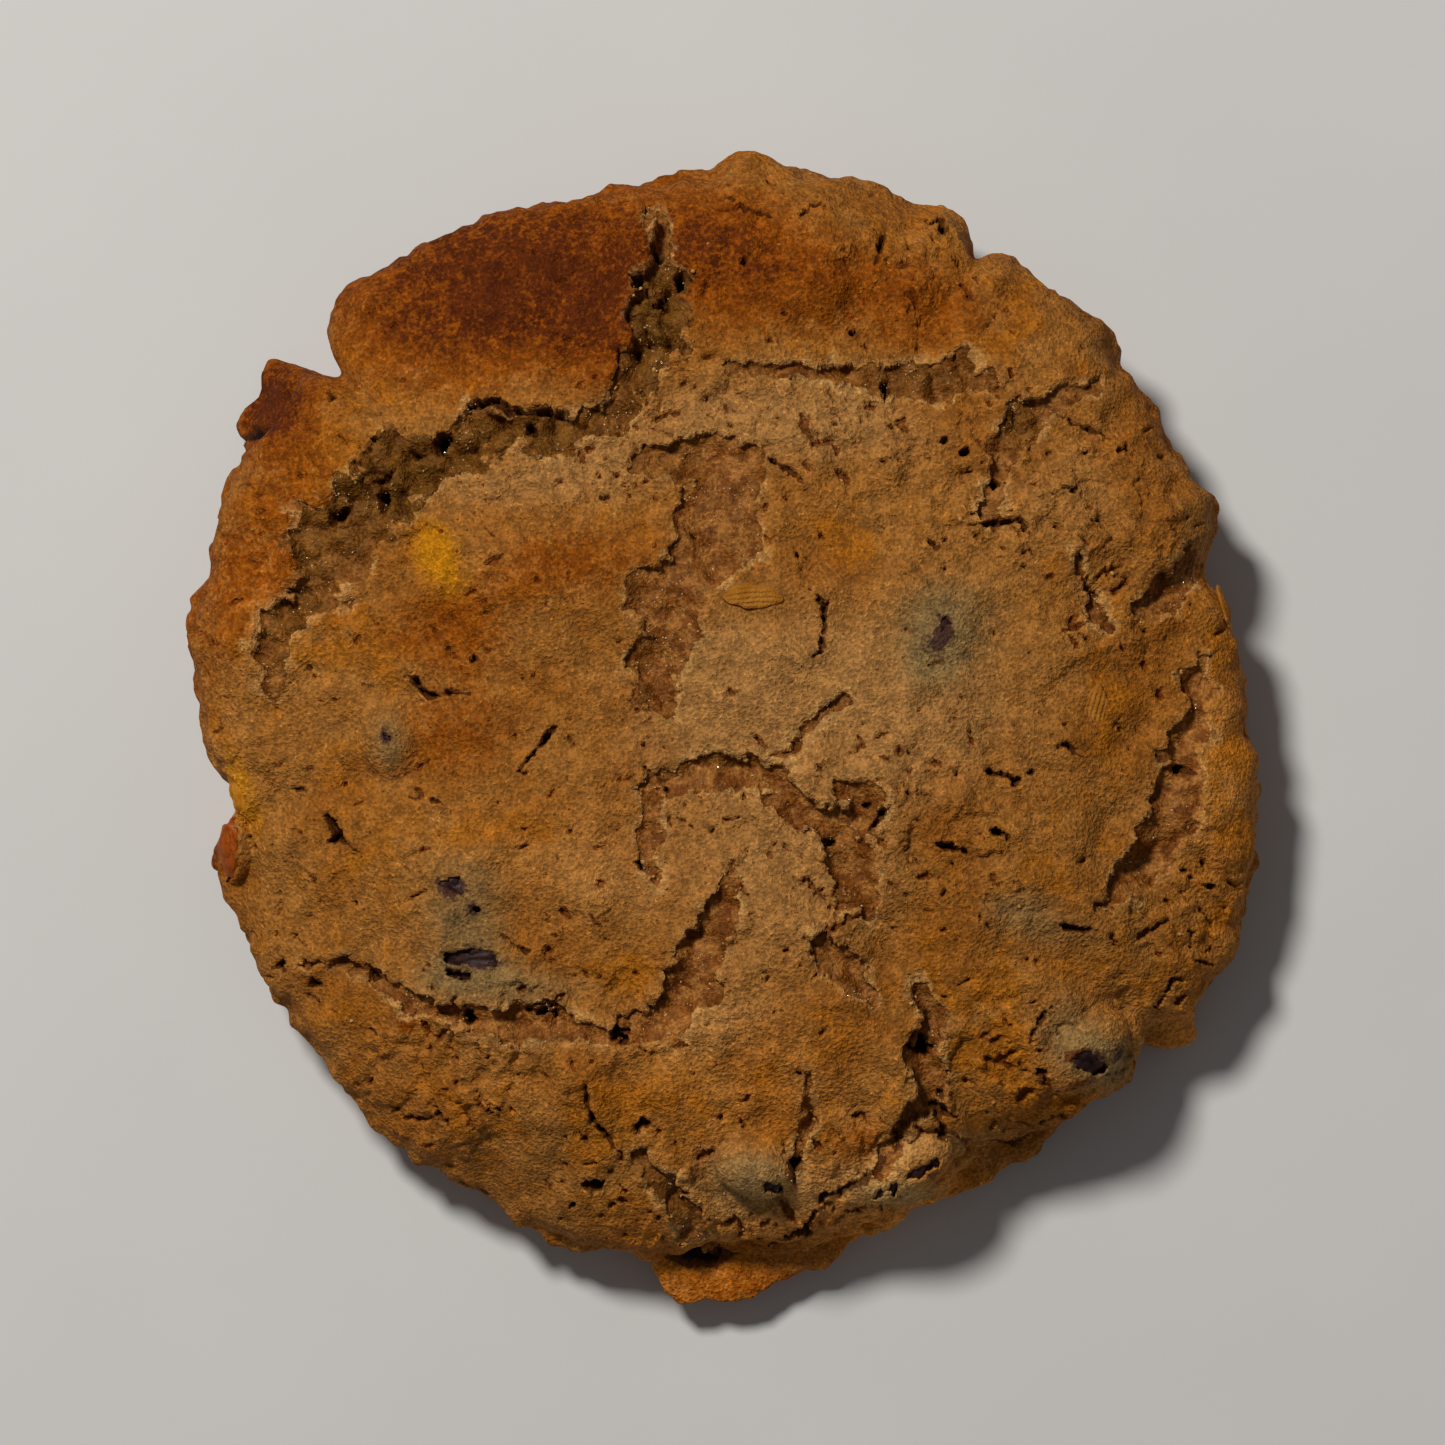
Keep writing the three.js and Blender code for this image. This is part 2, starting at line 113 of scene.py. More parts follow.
def add_node(tree, kind, values=None, **settings):
    """A new node of a kind, with its settings and its inputs' values."""
    node = tree.nodes.new(kind)
    for name, value in settings.items():
        setattr(node, name, value)
    return set_inputs(tree, node, values or {})


def new_material(name):
    """An empty procedural material: its tree, its Principled shader and its object coordinates."""
    material = bpy.data.materials.new(name)
    material.use_nodes = True
    tree = material.node_tree
    shader = tree.nodes["Principled BSDF"]
    place = tree.nodes.new("ShaderNodeTexCoord").outputs["Object"]
    return material, tree, shader, place


def table_material():
    material, tree, shader, place = new_material("table_plaster")
    cloud = add_node(tree, "ShaderNodeTexNoise", {"Vector": place, "Scale": 30, "Detail": 4})
    tint = add_node(tree, "ShaderNodeValToRGB", {"Fac": cloud.outputs["Fac"]})
    tint.color_ramp.elements[0].color = (0.61, 0.605, 0.59, 1)
    tint.color_ramp.elements[1].color = (0.67, 0.665, 0.65, 1)
    set_inputs(tree, shader, {"Base Color": tint.outputs["Color"], "Roughness": 0.7})
    return material


table_mesh = bpy.data.meshes.new("table")
table_corners = [(x * TABLE_HALF, y * TABLE_HALF, 0) for x, y in ((-1, -1), (1, -1), (1, 1), (-1, 1))]
table_mesh.from_pydata(table_corners, [], [(0, 1, 2, 3)])
table_mesh.materials.append(table_material())
table = in_scene("table", table_mesh)


# ---- The baked body: its outline and section ---------------------------------------------------
# One slab of oat dough that rose, cracked and browned. Its outline is uneven, its shoulder hangs
# over a waist, and a thin foot that spread on the tray shows past the crust in a few places.

# The crust's radius every 15 degrees from +X, and its nubs: (degrees, half-width, out), in mm.
CRUST_RADII = np.array([
    44.9, 44.3, 45.5, 46.7, 46.4, 47.4, 47.6, 46.6, 48.3, 47.9, 47.4, 45.6,
    43.8, 44.4, 44.7, 44.3, 45.3, 46.3, 44.8, 44.8, 43.8, 45.8, 47.4, 46.8,
])
EDGE_NUBS = [
    (17.2, 2.6, -1.6), (24.4, 2.4, 1.6), (39.5, 5.5, -1.4), (46.0, 2.2, 0.2), (61.5, 1.6, -1.2),
    (66.5, 2.6, 1.2), (77.0, 4.0, 0.8), (87.4, 2.4, 1.6), (89.0, 7.0, -0.7), (130.0, 2.6, 1.4),
    (138.0, 1.6, -3.0), (144.0, 5.0, -2.0), (163.5, 2.0, -0.8), (171.0, 5.5, 1.6), (189.0, 3.6, -2.3),
    (211.0, 9.0, 0.6), (213.0, 1.8, -0.8), (235.0, 4.0, 0.7), (243.0, 3.0, -0.6), (302.0, 5.0, -1.4),
    (325.0, 3.4, -2.0), (335.0, 5.0, 0.7),
]
# How far the foot lies inside the crust, and where it spread: (degrees, half-width, out), in mm.
FOOT_INSET = 2.2
FOOT_SKIRTS = [
    (141.5, 2.2, 1.3), (144.5, 6.0, 5.2), (194.0, 2.6, 2.4), (269.0, 7.0, 5.9), (279.7, 3.7, 1.7),
    (282.0, 12.0, 1.4), (302.5, 8.0, 3.4), (325.5, 2.6, 4.6),
]
# Where the foot stands higher under a lower shoulder: (degrees, half-width, share).
FOOT_RISES = [(285, 40, 1.0)]
SHOULDER_DROP = 0.35
# The section from the crown to the shoulder, and down the wall: (share of the radius, height).
TOP_SECTION = [
    (0, 19.6), (0.2, 19.5), (0.4, 19.0), (0.6, 18.0), (0.76, 16.6), (0.87, 14.9), (0.94, 12.9),
    (0.98, 10.8), (1, 8.4),
]
WALL_SECTION = [(1, 8.4), (0.995, 6.2), (0.983, 4.0), (0.986, 2.2), (0.978, 0.9), (0.955, 0)]
MEAN_RADIUS = 46
SHOULDER_HEIGHT = 8.4
# Where the wall has met the foot, as shares of the shoulder's height, how far the foot spreads
# there, and how high over the table all but its lowest ring stays.
FOOT_TOP = 0.3
FOOT_TOP_RISE = 0.4
FOOT_SPREAD = 0.02 * MEAN_RADIUS
FOOT_CLEAR = 0.15
# How uneven the rim's height is, and how deep the lumps, chips and slits of the wall are, in mm.
RIM_UNEVEN = 0.3
WALL_LUMPS = 1.3
CHIP_DEPTH = 0.9
WALL_SLIT_DEPTH = 0.7
# The share of the radius where the crust's relief starts to turn into the wall's, the share up to
# which skin covers fruit, and the heights between which stains fade down the wall.
RIM_START = 0.96
SKIN_LIMIT = 0.985
STAIN_FADE = (5.5, 8.0)
# Rings of the mesh over the top, wall and underside, and how many of its triangles are kept.
TOP_RINGS = 300
WALL_RINGS = 34
BOTTOM_RINGS = 3
CRUST_TRIANGLES = 195000


def bell(distance):
    return np.exp(-np.square(distance))


def plateau(distance):
    return np.exp(-np.square(distance) ** 2)


def smoothstep(low, high, value):
    share = np.clip((value - low) / (high - low), 0, 1)
    return share * share * (3 - 2 * share)


def scrambled(cells, seed):
    """A repeatable whole number for each cell of a grid."""
    with np.errstate(over="ignore"):
        parts = cells.astype(np.int64).astype(np.uint32)
        mixed = parts[:, 0] * np.uint32(374761393) ^ parts[:, 1] * np.uint32(668265263)
        deep = parts[:, 2] if cells.shape[1] == 3 else np.uint32(0)
        mixed = mixed ^ (deep * np.uint32(2246822519) + np.uint32(seed * 40503))
        mixed = (mixed ^ (mixed >> np.uint32(15))) * np.uint32(2246822519)
        mixed = (mixed ^ (mixed >> np.uint32(13))) * np.uint32(3266489917)
    return mixed ^ (mixed >> np.uint32(16))


def ten_bits(number, part):
    return ((number >> np.uint32(10 * part)) & np.uint32(1023)).astype(float)


def noise(points, size, seed):
    """Smooth noise from -1 to 1, with swells of the given size: a random slope at each cell's corner."""
    scaled = points / size
    base = np.floor(scaled)
    inside = scaled - base
    fade = inside**3 * (inside * (inside * 6 - 15) + 10)
    total = np.zeros(len(points))
    for corner in np.ndindex(*[2] * points.shape[1]):
        mixed = scrambled(base + corner, seed)
        weight, value = 1.0, 0.0
        for axis, step in enumerate(corner):
            weight = weight * (fade[:, axis] if step else 1 - fade[:, axis])
            value = value + (ten_bits(mixed, axis) / 511.5 - 1) * (inside[:, axis] - step)
        total += weight * value
    return 1.5 * total


def nearest_grain(points, size, seed):
    """The nearest of the grains strewn one to a cell: how far it is, how much nearer than the next
    grain, its own number, and its place."""
    scaled = points / size
    base = np.floor(scaled)
    nearest, second = np.full((2, len(points)), 9.0)
    luck = np.zeros(len(points))
    place = np.zeros_like(points)
    for step in np.ndindex(*[3] * points.shape[1]):
        cell = base + np.array(step) - 1
        mixed = scrambled(cell, seed)
        spot = cell + np.stack([ten_bits(mixed, axis) / 1023 for axis in range(points.shape[1])], 1)
        away = np.linalg.norm(scaled - spot, axis=1)
        closer = away < nearest
        second = np.where(closer, nearest, np.minimum(second, away))
        nearest[closer] = away[closer]
        luck[closer] = (mixed[closer] % np.uint32(997)) / 997
        place[closer] = spot[closer] * size
    return nearest * size, (second - nearest) * size, luck, place


def turned(angle, degrees):
    return np.mod(angle - radians(degrees) + pi, 2 * pi) - pi


def nubs_at(nubs, angle, shape):
    return sum(out * shape(turned(angle, degrees) / radians(half)) for degrees, half, out in nubs)


def crust_radius(angle):
    """The crust's radius at an angle: a closed smooth curve, with its nubs and ragged crumbs."""
    count = len(CRUST_RADII)
    place = np.mod(angle, 2 * pi) / (2 * pi) * count
    index = np.floor(place).astype(int)
    share = place - index
    before, start, end, after = (CRUST_RADII[(index + step) % count] for step in (-1, 0, 1, 2))
    even = 2 * start + (end - before) * share
    square = (2 * before - 5 * start + 4 * end - after) * share**2
    cube = (3 * start - before - 3 * end + after) * share**3
    circle = np.stack([MEAN_RADIUS * np.cos(angle), MEAN_RADIUS * np.sin(angle), 0 * angle], 1)
    ragged = 0.35 * noise(circle, 2.6, 3) + 0.12 * noise(circle, 1.1, 4)
    return (even + square + cube) / 2 + nubs_at(EDGE_NUBS, angle, bell) + ragged


def foot_radius(angle):
    return crust_radius(angle) - FOOT_INSET + nubs_at(FOOT_SKIRTS, angle, plateau)


def spaced_section(section, rings):
    """Equal steps along a smooth section: share, height, and the outward normal's two parts."""
    corners = np.array([(share * MEAN_RADIUS, height) for share, height in section])
    padded = np.vstack([2 * corners[0] - corners[1], corners, 2 * corners[-1] - corners[-2]])
    fine = []
    for before, start, end, after in zip(padded, padded[1:], padded[2:], padded[3:]):
        t = np.linspace(0, 1, 40, endpoint=False)[:, None]
        square = (2 * before - 5 * start + 4 * end - after) * t**2
        cube = (3 * start - before - 3 * end + after) * t**3
        fine.append((2 * start + (end - before) * t + square + cube) / 2)
    fine = np.vstack([*fine, corners[-1:]])
    length = np.concatenate([[0], np.cumsum(np.linalg.norm(np.diff(fine, axis=0), axis=1))])
    steps = np.linspace(0, length[-1], rings + 1)
    place = np.stack([np.interp(steps, length, fine[:, axis]) for axis in (0, 1)], 1)
    way = np.gradient(place, axis=0)
    way /= np.linalg.norm(way, axis=1)[:, None]
    return place[:, 0] / MEAN_RADIUS, place[:, 1], -way[:, 1], way[:, 0]


# ---- The baked body: its cracks and swells ------------------------------------------------------
# As the slab rose its dry crust parted into plates, with moist crumb on the floor of each gap.
# Every edge breaks along the grains of the crust, so points are drawn towards grains before use.

# Broad swells of the crust: (x, y, radius across, radius along, height), in mm.
SWELLS = [
    (-19, 35, 13, 8, 1.5), (-13, 9, 11, 8, 1.5), (7, 36, 9, 7, 1.0), (24, 34, 8, 7, 0.8),
    (17, 5, 11, 10, 0.9), (3, 5, 5, 6, 0.9), (27, 18, 6, 5, 0.6), (4, -26, 8, 9, 0.9),
    (-18, -9, 11, 8, 0.8), (-12, -33, 9, 6, 0.9), (27, -26, 8, 7, 0.9), (-39, 5, 5, 13, 1.2),
    (42, -5, 4, 13, 1.4), (8, -39, 8, 4, 0.8), (-33, 24, 6, 6, 0.9), (-8, 20, 9, 4, -0.6),
]
# Depth, height of the lip, how far the floor climbs to the crust on its open side, and the path
# as (x, y, half-width).
FISSURES = {
    "ledge_northwest": (1.8, 0.6, 0.7, [
        (-37.6, 2.8, 0.9), (-37.8, 6.9, 1.4), (-35.6, 9.2, 1.4), (-33.6, 11.4, 2.2), (-33.0, 14.8, 3.4),
        (-28.7, 18.3, 2.8), (-27.0, 21.0, 2.9), (-23.5, 21.8, 1.9), (-20.4, 23.6, 2.4), (-16.7, 24.4, 1.4),
        (-14.7, 23.8, 2.0), (-12.2, 24.3, 1.4), (-9.6, 25.4, 1.8), (-7.8, 27.4, 1.5)]),
    "crack_north": (2.4, 0.4, 0.3, [
        (-5.3, 42.2, 0.5), (-5.0, 39.4, 1.0), (-5.6, 36.9, 1.8), (-5.2, 34.6, 2.4), (-5.5, 31.4, 2.1),
        (-7.4, 28.8, 1.6)]),
    "recess_centre": (1.1, 0.3, 0.6, [
        (-6.6, 21.4, 0.9), (-3.6, 22.2, 1.7), (0.8, 20.4, 3.0), (-0.2, 17.6, 3.4), (-0.6, 15.0, 3.7),
        (-2.7, 12.0, 2.7), (-4.8, 9.6, 3.3), (-4.5, 6.6, 2.4), (-5.6, 4.4, 2.0), (-5.2, 2.0, 1.6),
        (-4.3, 0.2, 0.6)]),
    "recess_south": (1.2, 0.3, 0.7, [
        (-6.6, -6.1, 0.6), (-3.8, -5.1, 1.2), (0.2, -4.5, 1.7), (4.0, -5.0, 1.6), (7.6, -8.2, 1.3),
        (10.6, -11.2, 2.0), (11.2, -14.4, 1.8), (12.0, -16.6, 0.8)]),
    "pocket_south": (1.3, 0.3, 0.5, [(9.8, -5.4, 0.6), (11.9, -6.6, 1.5), (11.8, -9.0, 1.2)]),
    "slot_south": (0.9, 0.2, 0.3, [
        (4.5, -3.6, 0.3), (6.0, -2.6, 0.5), (7.3, -0.9, 0.5), (8.6, 0.6, 0.5), (10.2, 1.6, 0.7)]),
    "branch_south": (1.0, 0.3, 0.6, [(-6.0, -6.4, 0.8), (-6.4, -10.0, 1.1), (-5.6, -14.2, 0.6)]),
    "recess_southwest": (1.3, 0.3, 0.7, [
        (0.8, -12.4, 0.6), (0.5, -16.0, 1.4), (-1.9, -19.4, 2.0), (-2.6, -22.4, 2.0), (-4.4, -25.6, 1.7),
        (-8.8, -26.6, 0.8)]),
    "crack_southwest": (2.0, 0.4, 0.5, [
        (-35.4, -20.6, 0.4), (-31.4, -20.4, 0.6), (-28.4, -22.8, 0.7), (-21.4, -24.9, 0.9),
        (-17.6, -25.8, 1.6), (-14.8, -25.6, 1.6), (-11.4, -26.0, 0.8), (-8.8, -26.6, 0.8)]),
    "groove_east": (1.7, 0.4, 0.7, [
        (40.2, 5.2, 0.5), (39.6, 3.0, 1.0), (39.8, 0.4, 1.0), (38.4, -2.6, 1.2), (38.0, -5.6, 1.5),
        (37.7, -8.2, 1.8), (36.2, -11.4, 1.8), (34.0, -13.8, 1.4), (32.2, -15.4, 0.9)]),
    "ledge_east": (1.2, 0.4, 0.7, [
        (39.2, 14.4, 0.6), (38.9, 12.4, 1.4), (37.2, 10.6, 1.5), (34.6, 9.0, 0.8)]),
    "crack_east": (1.4, 0.3, 0, [
        (29.7, 13.8, 0.4), (30.2, 11.6, 0.5), (31.2, 10.2, 0.6), (31.2, 8.6, 0.45), (32.4, 7.7, 0.3)]),
    "ledge_northeast": (1.1, 0.4, 0.7, [
        (1.0, 29.3, 0.4), (8.5, 29.1, 0.6), (13.6, 28.4, 1.4), (17.6, 28.1, 1.7), (20.6, 29.6, 1.2),
        (23.0, 28.0, 0.7)]),
    "pocket_northeast": (1.3, 0.4, 0.7, [
        (31.6, 28.4, 0.4), (28.4, 26.8, 0.9), (25.0, 24.7, 2.0), (23.4, 22.2, 1.2), (22.9, 19.8, 0.8),
        (22.3, 17.0, 1.0)]),
    "recess_triangle": (1.1, 0.3, 0.6, [(8.4, -18.9, 1.3), (10.4, -21.2, 1.3), (12.8, -23.8, 0.5)]),
    "crack_southeast": (2.0, 0.4, 0.5, [
        (15.8, -21.8, 0.5), (17.6, -24.4, 0.8), (17.0, -28.2, 1.5), (17.4, -31.0, 1.3), (15.0, -34.4, 0.8),
        (13.2, -37.8, 0.6)]),
    "crack_south": (1.5, 0.3, 0, [(7.2, -29.8, 0.35), (7.3, -34.0, 0.5), (5.8, -38.0, 0.7)]),
    "notch_south": (1.4, 0.3, 0.6, [(-7.2, -36.8, 0.7), (-4.2, -39.4, 1.2), (-2.6, -42.4, 0.9)]),
    "lip_southeast": (1.1, 0.4, 0.7, [(19.4, -34.4, 0.4), (21.8, -36.2, 0.7), (27.0, -35.8, 0.6)]),
}
# The side to which a gap's floor climbs, and how far a lip reaches, in mm.
OPEN_SIDE = radians(-50)
LIP_REACH = 1.8
# Hairline cracks of the crust: (half-width, points).
HAIRLINES = [
    (0.36, [(-26.7, 4.1), (-25.8, 2.9), (-24.9, 2.1), (-21.2, 1.9)]),
    (0.33, [(-26.5, -6.7), (-23, -7.2)]),
    (0.55, [(-33.8, -7.6), (-32.6, -8.9), (-32, -10), (-30, -11.5)]),
    (0.35, [(-36, -5.6), (-34.8, -6.0)]), (0.4, [(-13.5, 0.3), (-14.5, -1.5), (-17, -4.5)]),
    (0.2, [(-19, -18), (-16.4, -19.8), (-14, -18.4)]), (0.25, [(0, 44.7), (2, 43), (4.5, 42)]),
    (0.3, [(6.3, 42), (7.3, 43), (8.2, 43.2)]), (0.5, [(13.5, 41.5), (13.5, 40), (12.7, 38.2)]),
    (0.25, [(16.8, 15.2), (18, 14.2), (19.1, 15.4)]), (0.25, [(13, 16.8), (13.8, 15.3)]),
    (0.3, [(28.3, 19.7), (29.5, 18.8)]), (0.2, [(37.5, 17), (38.5, 16.3)]),
    (0.3, [(7.2, 10.7), (8.5, 9.5), (8.4, 5.5), (6.8, 4.7)]), (0.2, [(6.3, 13.6), (6.6, 11.6)]),
    (0.45, [(17.5, -10.4), (19.0, -10.9), (20.6, -11.4)]), (0.25, [(15.8, -8.2), (16.8, -9.4)]),
    (0.35, [(22, -4.6), (23.4, -4.6), (25.2, -5.6)]), (0.4, [(25.8, -4.8), (27.0, -3.8)]),
    (0.3, [(27.8, -2.8), (28.8, -2.2), (30.4, -3.6)]), (0.35, [(22.2, -9.8), (24.6, -9.9)]),
    (0.45, [(21.7, -16.5), (22.7, -18.1)]), (0.2, [(22.8, -18), (22.7, -19.7)]),
    (0.35, [(27.8, -17), (28.8, -17.6), (31.4, -17.8)]), (0.3, [(15.5, -14.8), (16.4, -15.4)]),
    (0.3, [(38, -20.3), (37.5, -22), (36, -23.7)]), (0.3, [(39.6, -20.4), (41.6, -20.6)]),
    (0.25, [(27.6, -24), (26.6, -25.2), (25.2, -27.4)]), (0.35, [(30.2, -29), (32.2, -29.4)]),
    (0.3, [(7.7, -40.7), (8.5, -39.3), (9.8, -39)]), (0.3, [(10, -40.8), (12, -41)]),
    (0.35, [(-11.5, -30.5), (-11.3, -32), (-10.8, -33.2), (-8.7, -36.5)]),
    (0.2, [(-13.8, -35), (-12, -34.6)]), (0.4, [(18.3, -33.5), (18.5, -35), (19.7, -35.3)]),
    (0.4, [(-4.2, -8), (-2.2, -9.6)]), (0.3, [(20.5, 16.3), (22, 16.2), (25, 16.7), (25.5, 15.5)]),
    (0.3, [(28, 25.5), (31, 24.5), (33, 23.7)]), (0.3, [(4, 21.5), (5.5, 20.8), (7, 19.7)]),
    (0.22, [(7.4, 24.4), (10.4, 24.4)]), (0.3, [(0, -43.7), (1.5, -43.8), (3.5, -43)]),
    (0.3, [(4, -44.8), (6.5, -43.8), (7.3, -42.3)]),
    (0.9, [(-42.4, 24.4), (-40.2, 25.1), (-38.6, 24.9), (-36.6, 25.5)]),
    (0.2, [(-28.8, 35.6), (-28.4, 32.6)]), (0.25, [(36.2, -12.8), (38.2, -14)]),
    (0.25, [(-29.6, -25.8), (-28.2, -27)]), (0.25, [(-24.4, -31.4), (-24, -33), (-22.8, -34)]),
    (0.2, [(-20, -33), (-18.8, -32.6)]), (0.8, [(-33.2, 15.8), (-32.3, 16.9), (-31.0, 18.5)]),
    (0.7, [(-28.9, 17.2), (-28.6, 18.6), (-28.0, 19.4)]),
    (0.6, [(-29.4, 19.6), (-28.2, 20.2), (-27.4, 21.0)]), (0.7, [(-26.8, 17.4), (-27.8, 17.6)]),
    (0.5, [(-26.6, 22.6), (-25.6, 22.0), (-24.9, 22.1)]),
    (0.9, [(-24.0, 21.9), (-23.4, 23.2), (-22.4, 23.9)]), (0.7, [(-24.2, 20.8), (-23.0, 20.3)]),
    (0.4, [(-29.4, 23.4), (-28.2, 23.1)]), (0.35, [(-20.6, 21.2), (-18.0, 22.6)]),
    (0.4, [(-5.5, 26.8), (-6.8, 27.2)]), (0.35, [(-3.3, 16.0), (-2.2, 14.8)]),
    (0.3, [(-33.8, 11.2), (-35.6, 10.8)]), (0.4, [(-38.5, 15.4), (-38.7, 14.6)]),
    (0.5, [(19.4, -33.0), (17.6, -32.2), (18.8, -35.2)]),
    (0.45, [(9.8, -38.9), (13.0, -37.8), (15.2, -35.6)]),
    (0.4, [(4.4, -43.4), (6.8, -42.2), (8.0, -40.2)]), (0.4, [(-6.8, -6.2), (-4.4, -6.0)]),
    (0.35, [(13.4, -6.6), (13.4, -8.2), (12.0, -10.0)]),
    (0.4, [(21.6, -35.2), (24.4, -35.6), (27.4, -34.6)]), (0.35, [(6.4, -29.6), (7.4, -30.8)]),
    (0.45, [(-22.4, 25.0), (-20.7, 26.5), (-18.8, 26.6), (-17.6, 25.6), (-15.2, 25.6), (-11.8, 25.6)]),
    (0.4, [(-31.0, 21.6), (-30.0, 22.4)]), (0.45, [(-37.2, 15.4), (-36.2, 16.2)]),
    (0.9, [(-5.0, -45.0), (-3.2, -45.7), (-1.0, -45.9), (1.4, -45.3)]),
    (0.4, [(2.4, -46.4), (4.4, -45.9)]), (0.4, [(-37.6, 29.6), (-37.0, 27.6)]),
    (0.35, [(-38.8, 27.6), (-38.0, 26.8)]),
]
# Deep steam holes: (x, y, radius).
HOLES = [
    (-16.2, 24.2, 0.7), (-5.4, 39.3, 0.6), (-7.0, 36.6, 1.1), (-4.0, 36.7, 0.9), (-5.3, 35.2, 0.9),
    (13.9, 27.8, 0.65), (23.0, 19.7, 0.5), (33.8, 22.9, 0.6), (38.4, -4.2, 0.8), (39.0, -12.5, 0.8),
    (40.4, -14.0, 0.7), (-15.0, -24.6, 0.9), (-21.3, -24.9, 0.8), (-29.4, -21.9, 0.6), (16.8, -27.5, 1.1),
    (18.2, -31.2, 0.5), (6.0, -37.4, 0.8), (-8.5, -26.6, 0.9), (8.9, -10.5, 0.6), (-16.0, 3.6, 0.7),
    (18.7, 23.3, 0.45), (23.1, -9.6, 0.7), (24.6, -5.4, 0.5), (-10.9, -39.0, 0.9), (-12.6, -40.5, 0.5),
    (20.0, 1.6, 0.4), (-32.5, 27.1, 0.7), (18.2, 41.9, 0.8), (22.4, 33.2, 0.7), (-6.5, -34.0, 0.7),
    (14.2, 24.4, 0.3), (26.4, -29.2, 0.6), (-37.4, -21.0, 0.6), (-34.2, -22.2, 0.6), (4.9, 33.8, 0.5),
    (-10.0, 18.5, 0.3), (-29.6, 2.7, 0.4), (-20.7, 5.1, 0.4), (11.0, 32.4, 0.4), (2.0, 38.3, 0.4),
    (20.4, 22.2, 0.4), (3.9, -0.8, 0.5), (-7.0, -12.0, 0.5), (12.0, -7.2, 0.6), (-32.0, -9.8, 0.9),
    (-32.6, -8.9, 0.6),
]
# Where the crust crumbles softly into a gap instead of breaking off: (x, y, across, along, share).
SOFTENED = [
    (-33.5, 18.0, 6.5, 5.5, 1.0), (-26.5, 23.6, 3.0, 2.4, 0.8), (-26.0, 16.5, 4.0, 2.5, 0.5),
    (1.5, 20, 3, 4, 0.5),
]
# The least step down at a gap's edge, how deep slits, holes and pits go, and how far the crust
# leans over a gap, in mm.
STEP = 0.35
CUT_DEPTH = 1.2
HOLE_DEPTH = 1.6
PIT_DEPTH = 0.55
OVERHANG = 0.12
# Steam left slits that run two ways: (degrees, seed).
SLIT_TURNS = ((25, 44), (-50, 45))
# Torn sheets of the crust's skin: (size, share cut away, seed), and how thick a sheet is, in mm.
FLAKED_SHEETS = [(9, 0.0, 81), (5, 0.1, 84), (3.2, 0.08, 87)]
SHEET = 0.26
# Rubbly parts of the crust, and the moist olive parts of the gaps: (x, y, across, along, strength).
ROUGH = [
    (8, 24, 15, 5, 1.0), (-12, 20, 8, 3, 0.9), (-30, 16, 9, 6, 0.8), (-36, 24, 5, 5, 0.6),
    (-5, 34, 4, 8, 0.8), (29, 18, 9, 7, 0.8), (34, 8, 8, 6, 0.5), (10, -12, 9, 8, 0.8),
    (20, -10, 7, 6, 0.5), (-14, -25, 14, 4, 0.8), (-2, -22, 5, 5, 0.5), (-22, -31, 12, 6, 0.8),
    (2, -40, 14, 5, 0.9), (18, -33, 8, 7, 0.7), (30, -29, 8, 6, 0.8), (38, -14, 6, 8, 0.7),
    (-32, -10, 6, 8, 0.4), (0, 41, 20, 5, 0.4), (20, 38, 12, 5, 0.5), (-42, 4, 4, 14, 0.4),
]
OLIVE = [
    (-27, 19.5, 10, 6, 1.0), (-14, 24, 7, 3, 0.8), (-5.5, 33, 4, 8, 1.0), (-36, 9, 3, 7, 0.8),
    (-5, -40, 4, 5, 0.5), (24.5, 25, 3, 2.4, 0.8), (17, 28.6, 5, 1.6, 0.7),
]
# Oat flakes under the skin of the crust: (x, y, length, width, degrees).
COVERED_FLAKES = [
    (2.6, 10.8, 6.6, 3.8, 4), (-30.5, -8.5, 5.2, 3.2, 35), (26.8, 7.6, 5.0, 3.0, 120),
    (-6.0, -30.4, 5.2, 3.2, 160), (12.6, 20.2, 5.4, 3.0, 15), (30.0, -9.6, 5.0, 3.0, 70),
]
FLAKE_RISE = 0.4
# What each mask is away from the crust's relief: on the wall, and on the underside.
PLAIN_MASKS = {
    "gap": 3.0, "shut": 0.0, "cut": 1.0, "pore": -1.0, "crease": 0.0, "crumbly": 0.0, "moist": 0.0,
}
UNDERSIDE_MASKS = {**PLAIN_MASKS, "brown": 1.0}


def gap_to(path, points):
    """For each point, how far it is from a path's edge, below 0 inside it; how far across it the
    point lies, from -1 at the closed edge to 1 at the open one; and the way out of the path."""
    gap = np.full(len(points), 99.0)
    side = np.zeros(len(points))
    away = np.zeros((len(points), 2))
    for (ax, ay, aw), (bx, by, bw) in zip(path, path[1:]):
        run = np.array([bx - ax, by - ay])
        share = np.clip((points - (ax, ay)) @ run / (run @ run), 0, 1)
        offset = points - (ax, ay) - share[:, None] * run
        distance = np.linalg.norm(offset, axis=1)
        half = aw + (bw - aw) * share
        closer = distance - half < gap
        gap[closer] = (distance - half)[closer]
        side[closer] = (offset @ (cos(OPEN_SIDE), sin(OPEN_SIDE)) / half)[closer]
        away[closer] = (offset / np.maximum(distance, 1e-6)[:, None])[closer]
    return gap, side, away


def near(path, points, margin):
    """Which points lie within a margin of a path's box."""
    places = np.array(path)[:, :2]
    low, high = places.min(axis=0) - margin, places.max(axis=0) + margin
    return np.flatnonzero(np.all((points > low) & (points < high), axis=1))


def drawn_to_grains(points, size, share, seed):
    """The points drawn towards the grains strewn over them, so that an edge breaks along the grains."""
    return points + share * (nearest_grain(points, size, seed)[3] - points)


